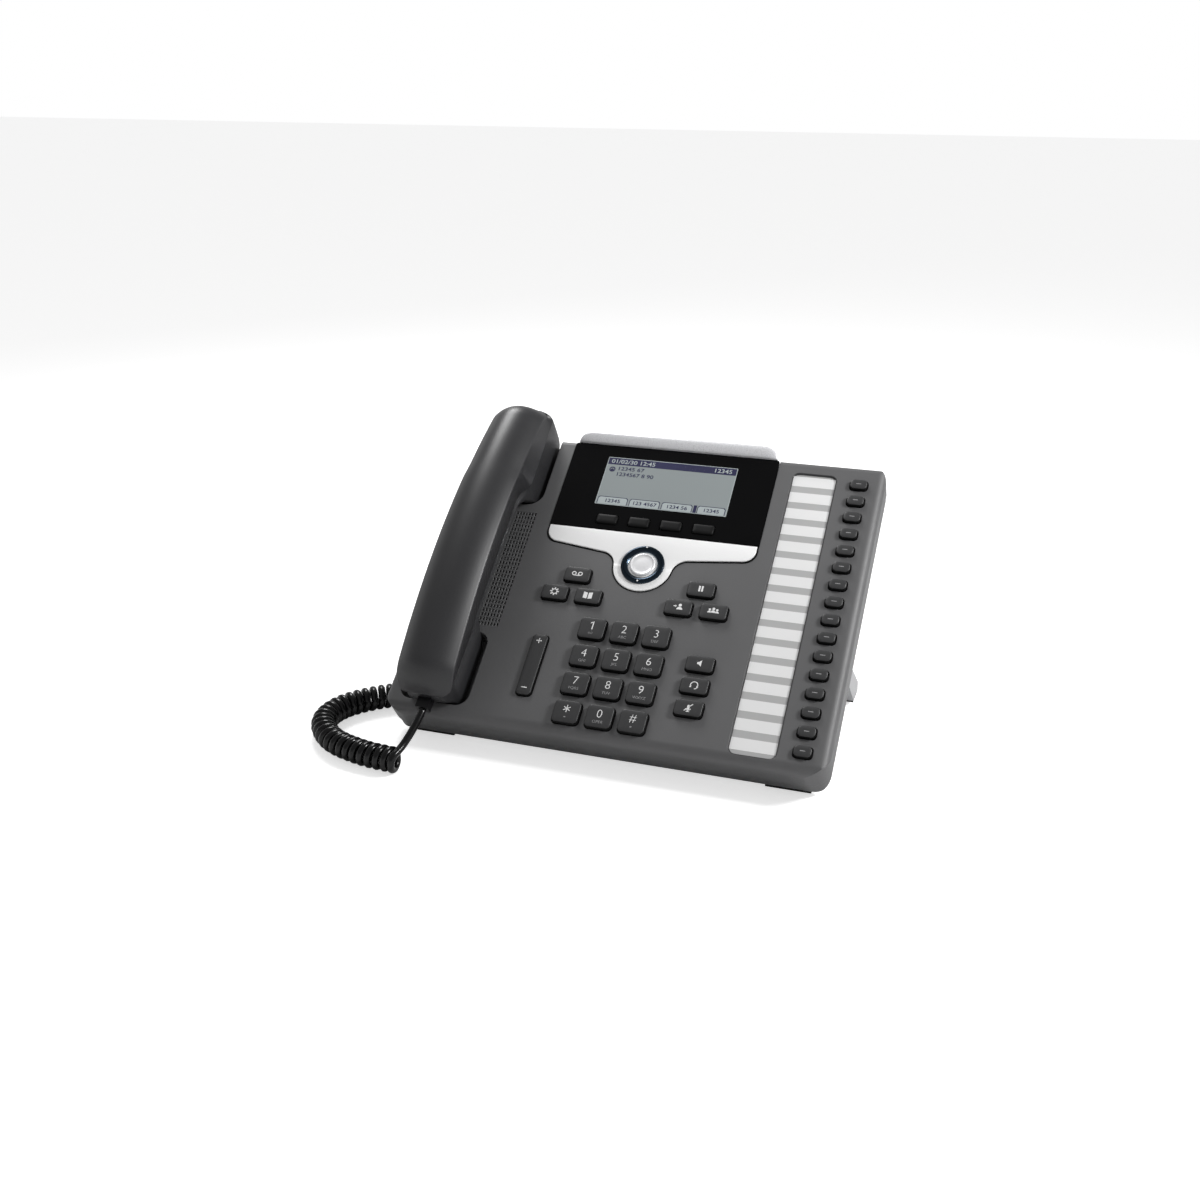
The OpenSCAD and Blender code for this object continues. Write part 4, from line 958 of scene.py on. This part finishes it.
class PHONE_OT_navigation(bpy.types.Operator):
    """Build the navigation ring and the button inside it"""

    bl_idname = "phone.navigation"
    bl_label = "Navigation key"

    def execute(self, context):
        low, high, (x, y) = panel_box("nav_ring")
        top, outer = high.z, RING_R
        flange = outer + FLANGE_REACH
        ring = Shape()
        # Section of the ring: flange, outer wall, a rounded crest with a fine groove, and an inner slope
        crest = [
            (flange, low.z), (flange, low.z + 1), (outer, low.z + 1), (outer, top - 1), (outer - 0.2, top - 0.45),
            (outer - 0.7, top - 0.12), (outer - 1.3, top), (11.9, top), (11.7, top - 0.3), (11.4, top - 0.3),
            (11.2, top), (10.5, top - 0.1), (9.8, top - 0.6),
        ]
        groove = [(9.2, top - 1.1), (8.95, top - 1.3), (8.75, top - 1.9), (8.75, -2), (9.75, -2), (9.75, low.z)]
        turned(ring, x, y, crest + groove, [0] * len(crest) + [1] * 2 + [0] * (len(groove) - 2))
        for side in (-1, 1):
            ring.strokes([disc(0, 0, 0.55, 16)], x, y + side * 12.1, top - 0.02, 0.06, 2)
        finishes = [ring_metal(), ring_groove(), legend_ink()]
        ring.piece("navigation_ring", finishes, "ring", ["nav_ring"], "ring", sharp=30)
        low, high, _ = panel_box("select_button")
        button = Shape()
        foot, top = low.z + STEM_LONG, high.z
        # A shallow dish with a bright rim
        profile = [
            (8, foot), (8, top - 1.1), (7.85, top - 0.6), (7.5, top - 0.25), (7.0, top - 0.1), (6.6, top - 0.3),
            (6.2, top - 0.5), (4.5, top - 0.45), (2.5, top - 0.3), (1.0, top - 0.25),
        ]
        button.loft([[(x + px, y + py, w) for px, py in disc(0, 0, r, 72)] for r, w in profile])
        button.prism(disc(x, y, 9.3, 48), foot, foot + 1.3)
        button.prism(disc(x, y, STEM_R), low.z, foot)
        button.piece("select_cap", [button_chrome()], "select", ["select_button"], "select", sharp=30)
        return {"FINISHED"}


# ---------------------------------------------------------------- handset

# The handset lies along v: its middle, half its length and the height of the joint between its shells
HANDSET_U = 31
HANDSET_MID = 110
HANDSET_HALF = 106
SPLIT_W = 16
# The lower shell: how far it lies inside the back, its upright rim, and the radius of its lower edges
SHELL_LIP = 1.2
SHELL_RIM = 0.8
SHELL_R = 3.2
# The lower shell at some places: v from the handset's lower end, its lowest w, and its half width
UNDER = (
    (0.6, 12, 10), (2, 5, 12), (4.6, 1.4, 13.4), (7, -7.2, 14.4), (8.6, -9.4, 15.2), (11, -10, 15.8), (45, -10, 15.8),
    (47.6, -9.4, 15.6), (50, -7, 15.2), (56, 6, 15), (60, 9.4, 15), (68, 12, 15), (135, 12, 15), (141, 10, 15.4),
    (147, 7, 17.6), (150, 2, 19), (154.5, -7, 20), (156, -9.3, 20.4), (158, -10, 20.5), (200, -10, 20.5),
    (203, -9.3, 20.3), (205.5, -6, 19.8), (208, 2, 18.6), (210, 9, 16.2), (211.4, 12, 13.5),
)

# The back: half its width and how far and over what length its ends narrow, its height at the middle, how far it
# arches down to both ends, how far and over what length the ends then fall, and how far its side edges lie lower
BACK_HALF = 17.8
BACK_NARROW, BACK_NARROW_R = 8, 9
BACK_TOP = 42
BACK_ARCH = 12
BACK_FALL, BACK_FALL_R = 18, 16
CROWN = 7
# Where the head starts and the mouthpiece ends, and the lengths over which they take shape
HEAD_V, HEAD_RUN = 146, 14
MOUTH_V, MOUTH_RUN = 66, 15


def end_fall(v, r):
    """How far a rounded end of radius r has fallen away at v, as a share of r"""
    past = min(r, max(0, abs(v - HANDSET_MID) - (HANDSET_HALF - r)))
    return 1 - math.sqrt(1 - (past / r) ** 2)


def soft_step(t):
    t = max(0, min(1, t))
    return t * t * (3 - 2 * t)


def head(v):
    """How much of the head there is, from none on the grip to all of it"""
    return soft_step((v - HEAD_V) / HEAD_RUN)


def mouth(v):
    """The same for the mouthpiece"""
    return soft_step((MOUTH_V - v) / MOUTH_RUN)


def half_width(v):
    k = (v - HANDSET_MID) / HANDSET_HALF
    return BACK_HALF - 0.6 * k - 0.6 * k * k - BACK_NARROW * end_fall(v, BACK_NARROW_R)


def back_line(v):
    k = (v - HANDSET_MID) / HANDSET_HALF
    return max(SPLIT_W + 0.5, BACK_TOP - BACK_ARCH * k * k - BACK_FALL * end_fall(v, BACK_FALL_R))


def side_lean(v):
    """How far the sides come in below the crease: inward, but outward over the earpiece"""
    return 2.6 - 6.2 * head(v) * (1 - end_fall(v, BACK_NARROW_R)) - mouth(v)


def stations(low, high, ends, middle):
    """Places along a length, close together near both ends"""
    span = high - low
    near = [ends * (1 - math.cos(math.pi / 2 * k / 12)) for k in range(12)]
    inner = [ends + (span - 2 * ends) * k / middle for k in range(middle + 1)]
    return [low + x for x in near + inner + [span - x for x in reversed(near)]]


def eased(table, v):
    """A row of a table at v, its values blended softly between the given places"""
    for (a, *from_row), (b, *to_row) in zip(table, table[1:]):
        if v <= b:
            t = max(0, min(1, (v - a) / (b - a)))
            t = (soft_step(t) + t) / 2
            return [p + (q - p) * t for p, q in zip(from_row, to_row)]
    return table[-1][1:]


class PHONE_OT_handset(bpy.types.Operator):
    """Build both shells of the handset with their soft edges"""

    bl_idname = "phone.handset"
    bl_label = "Handset"

    def execute(self, context):
        sizes = context.scene.phone_sizes
        crease = sizes.crease / MM
        low, high = HANDSET_MID - HANDSET_HALF, HANDSET_MID + HANDSET_HALF
        outer = Shape()
        rings = []
        for v in stations(low + 0.05, high - 0.05, 18, 40):
            half, top = half_width(v), back_line(v)
            edge = max(SPLIT_W + 0.4, top - CROWN)
            soft = min(crease + 1.5 * head(v), (edge - SPLIT_W) * 0.8, half * 0.4)
            foot = half - side_lean(v)
            right = [(foot - 0.25, SPLIT_W), (foot, SPLIT_W + 0.25), (half, edge - soft)]
            # The edge: a small round between the upright side and the crowned back
            slope = math.atan2(2 * (top - edge), half)
            for k in range(1, 6):
                a = (math.pi / 2 - slope) * k / 5
                right.append((half - soft * (1 - math.cos(a)), edge - soft + soft * math.sin(a) * 0.9))
            start = right[-1]
            for k in range(1, 13):
                t = 1 - k / 12
                right.append((start[0] * t, start[1] + (top - start[1]) * (1 - t * t)))
            left = [(-u, w) for u, w in reversed(right[:-1])]
            rings.append([(HANDSET_U + u, v, w) for u, w in right + left])
        outer.loft(rings)
        outer.piece("handset_back", [handset_abs()], "handset", ["handset_outer_shell"], "handset", sharp=50)
        inner = Shape()
        rings = []
        # Its section: from the rim down the side, round the lower edge, and across
        for v in stations(low + 0.6, high - 0.6, 12, 64):
            base, side = eased(UNDER, v - low)
            half = half_width(v) - side_lean(v) - SHELL_LIP * (1 - 0.8 * head(v))
            wide = max(half - 1 + 0.7 * head(v), side)
            base = min(base, SPLIT_W - 3.6)
            curve = min(SHELL_R, SPLIT_W - SHELL_R - base)
            right = [(half, SPLIT_W), (half, SPLIT_W - SHELL_RIM)]
            right += [(wide, SPLIT_W - 2.6)] if wide > half else [(half - 0.3, SPLIT_W - 2.2)]
            right.append((side, base + curve))
            for k in range(1, 6):
                a = math.pi / 2 * k / 5
                right.append((side - curve * (1 - math.cos(a)), base + curve * (1 - math.sin(a))))
            left = [(-u, w) for u, w in reversed(right)]
            rings.append([(HANDSET_U + u, v, w) for u, w in right[::-1] + left[::-1]])
        inner.loft(rings)
        inner.piece("handset_front", [handset_abs()], "handset", ["handset_inner_shell"], "handset", sharp=50)
        return {"FINISHED"}


# ---------------------------------------------------------------- cord

# The cord's way in millimetres of the shared frame: from the handset's plug, round the coil, to the base
TAIL = ((-101, -93.37, 29.61), (-101, -96.5, 27.3), (-102.6, -104.5, 21.2), (-104.6, -112, 15.9))
COIL = (
    (-106, -117.8, 7.85), (-130, -115.2, 7.85), (-154, -106.2, 7.85), (-169.4, -88.2, 7.85), (-169.4, -68.2, 7.85),
    (-157, -50.2, 7.85), (-138, -36.2, 7.85), (-116, -26.2, 7.85), (-92, -21.2, 7.85),
)
LEAD = (
    (-86, -15.5, 11), (-76, -14, 7), (-58, -15, 8), (-45, -13.2, 22), (-39, -4.2, 40.5), (-38, 7.85, 67.92),
    (-38, 10.99, 70.24),
)


def smooth_through(points, steps):
    """A soft curve through points, with so many steps from each to the next"""
    points = [Vector(p) for p in points]
    ends = [2 * points[0] - points[1]] + points + [2 * points[-1] - points[-2]]
    out = []
    for i in range(1, len(points)):
        a, b, c, d = ends[i - 1 : i + 3]
        for k in range(steps):
            t = k / steps
            out.append(
                0.5 * (2 * b + (c - a) * t + (2 * a - 5 * b + 4 * c - d) * t * t + (3 * b - a - 3 * c + d) * t**3)
            )
    return out + [points[-1]]


class PHONE_OT_cord(bpy.types.Operator):
    """Build the handset cord, coiled from a straight tail to a straight lead"""

    bl_idname = "phone.cord"
    bl_label = "Handset cord"

    def execute(self, context):
        sizes = context.scene.phone_sizes
        wire, pitch = sizes.wire / MM, sizes.pitch / MM
        radius = (sizes.coil / MM - wire) / 2
        middle = smooth_through(COIL, 60)
        # Where along the coil each point lies, and the turning frame there
        reach = [0]
        for a, b in zip(middle, middle[1:]):
            reach.append(reach[-1] + (b - a).length)
        turns = round(reach[-1] / pitch)
        steps = 20
        coil = []
        spot = 0
        for k in range(turns * steps + 1):
            s = reach[-1] * k / (turns * steps)
            while spot < len(reach) - 2 and reach[spot + 1] < s:
                spot += 1
            t = (s - reach[spot]) / (reach[spot + 1] - reach[spot])
            centre = middle[spot].lerp(middle[spot + 1], t)
            along = (middle[spot + 1] - middle[spot]).normalized()
            side = along.cross(Vector((0, 0, 1))).normalized()
            top = side.cross(along)
            a = 2 * math.pi * k / steps
            coil.append(centre + radius * (math.cos(a) * top - math.sin(a) * side))
        # The helix starts and ends on its top, where the straight ends of the cord run on
        way = smooth_through([*TAIL, coil[0]], 12)[:-1] + coil + smooth_through([coil[-1], *LEAD], 12)[1:]
        curve = bpy.data.curves.new("handset_cord", "CURVE")
        curve.dimensions = "3D"
        curve.bevel_depth = wire / 2 * MM
        curve.bevel_resolution = 3
        spline = curve.splines.new("POLY")
        spline.points.add(len(way) - 1)
        for point, place in zip(spline.points, way):
            point.co = (*(place * MM), 1)
        spline.use_smooth = True
        curve.materials.append(cord_rubber())
        cord = bpy.data.objects.new("handset_cord", curve)
        context.scene.collection.objects.link(cord)
        run = sum((b - a).length for a, b in zip(way, way[1:])) * MM
        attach(cord, "base")
        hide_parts("cord_tail", "cord_coil", "cord_lead")
        return {"FINISHED"}


# ---------------------------------------------------------------- stage


def area_light(name, power, size, place, aim):
    """A white, square area light at a place, turned towards a point"""
    lamp = bpy.data.lights.new(name, "AREA")
    lamp.energy, lamp.size = power, size
    made = bpy.data.objects.new(name, lamp)
    bpy.context.scene.collection.objects.link(made)
    made.location = place
    made.rotation_euler = (Vector(aim) - Vector(place)).to_track_quat("-Z", "Y").to_euler()
    return made


class PHONE_OT_stage(bpy.types.Operator):
    """Set up the floor, the light and the camera"""

    bl_idname = "phone.stage"
    bl_label = "Stage"

    def execute(self, context):
        scene = context.scene
        studio = scene.phone_studio
        bpy.ops.mesh.primitive_plane_add(size=12)
        floor = context.object
        floor.name = "floor"
        paper, tree, shader = new_finish("Paper sweep, white", list(studio.floor), 0.9)
        # Seen straight on, the floor glows a little, so that it is white outside the shadows
        ray = add_node(tree, "ShaderNodeLightPath")
        glow = {0: ray.outputs["Is Camera Ray"], 1: studio.floor_glow}
        lift = add_node(tree, "ShaderNodeMath", glow, operation="MULTIPLY")
        shader.inputs["Emission Color"].default_value = (1, 1, 1, 1)
        tree.links.new(lift.outputs["Value"], shader.inputs["Emission Strength"])
        floor.data.materials.append(paper)
        lamps = [
            area_light("key", studio.key_power, 0.35, (-0.4, 0.42, 0.75), (0.05, 0.02, 0.08)),
            area_light("side", studio.side_power, 0.18, (0.67, 0.03, 0.57), (-0.05, 0, 0.08)),
        ]
        world = bpy.data.worlds.new("Studio")
        world.use_nodes = True
        scene.world = world
        tree = world.node_tree
        sky = tree.nodes["Background"]
        sky.inputs["Strength"].default_value = studio.sky
        sky.inputs["Color"].default_value = (1, 1, 1, 1)
        # The studio as the camera, metal and glass see it: white walls under a dark ceiling
        where = add_node(tree, "ShaderNodeTexCoord").outputs["Generated"]
        height = add_node(tree, "ShaderNodeSeparateXYZ", {"Vector": where}).outputs["Z"]
        span = {"From Min": 0.03, "From Max": 0.3, "To Min": 1.0, "To Max": studio.ceiling}
        fade = add_node(tree, "ShaderNodeMapRange", {"Value": height, **span})
        seen = {"Color": (1, 1, 1, 1), "Strength": fade.outputs["Result"]}
        room = add_node(tree, "ShaderNodeBackground", seen)
        ray = add_node(tree, "ShaderNodeLightPath")
        kinds = {0: ray.outputs["Is Camera Ray"], 1: ray.outputs["Is Glossy Ray"]}
        either = add_node(tree, "ShaderNodeMath", kinds, operation="MAXIMUM")
        kinds = {0: either.outputs["Value"], 1: ray.outputs["Is Transmission Ray"]}
        any_kind = add_node(tree, "ShaderNodeMath", kinds, operation="MAXIMUM")
        mix = add_node(tree, "ShaderNodeMixShader", {0: any_kind.outputs["Value"]})
        tree.links.new(sky.outputs["Background"], mix.inputs[1])
        tree.links.new(room.outputs["Background"], mix.inputs[2])
        tree.links.new(mix.outputs["Shader"], tree.nodes["World Output"].inputs["Surface"])
        camera = bpy.data.objects.new("camera", bpy.data.cameras.new("camera"))
        scene.collection.objects.link(camera)
        camera.location = studio.eye
        camera.rotation_euler = (math.pi / 2 - studio.dip, 0, studio.azimuth)
        camera.data.lens, camera.data.sensor_width = studio.lens, 36
        camera.data.clip_start, camera.data.clip_end = 0.01, 20
        scene.camera = camera
        scene.render.resolution_x = scene.render.resolution_y = 1024
        scene.view_settings.view_transform = "Standard"
        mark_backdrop(floor, camera, *lamps)
        return {"FINISHED"}


# ---------------------------------------------------------------- panel and registering

STEPS = (
    PHONE_OT_housing,
    PHONE_OT_display,
    PHONE_OT_trim,
    PHONE_OT_labels,
    PHONE_OT_number_keys,
    PHONE_OT_function_keys,
    PHONE_OT_line_keys,
    PHONE_OT_rocker,
    PHONE_OT_navigation,
    PHONE_OT_handset,
    PHONE_OT_cord,
    PHONE_OT_stage,
)


class VIEW3D_PT_phone(bpy.types.Panel):
    """Everything that makes the telephone, in the order in which it is made"""

    bl_label = "Telephone"
    bl_space_type = "VIEW_3D"
    bl_region_type = "UI"
    bl_category = "Telephone"

    def draw(self, context):
        for group in GROUPS:
            box = self.layout.box()
            for name in group.__annotations__:
                box.prop(getattr(context.scene, group.held_as), name)
        for step in STEPS:
            self.layout.operator(step.bl_idname)


GROUPS = (PhoneSizes, PhoneColours, PhoneStudio)


def register():
    for kind in GROUPS + STEPS + (VIEW3D_PT_phone,):
        bpy.utils.register_class(kind)
    for group in GROUPS:
        setattr(bpy.types.Scene, group.held_as, PointerProperty(type=group))


def unregister():
    for group in GROUPS:
        delattr(bpy.types.Scene, group.held_as)
    for kind in reversed(GROUPS + STEPS + (VIEW3D_PT_phone,)):
        bpy.utils.unregister_class(kind)


def main():
    register()
    for step in STEPS:
        area, name = step.bl_idname.split(".")
        getattr(getattr(bpy.ops, area), name)()
    [[list(corner) for corner in box] for box in (cad_box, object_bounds())]


if __name__ == "__main__":
    main()
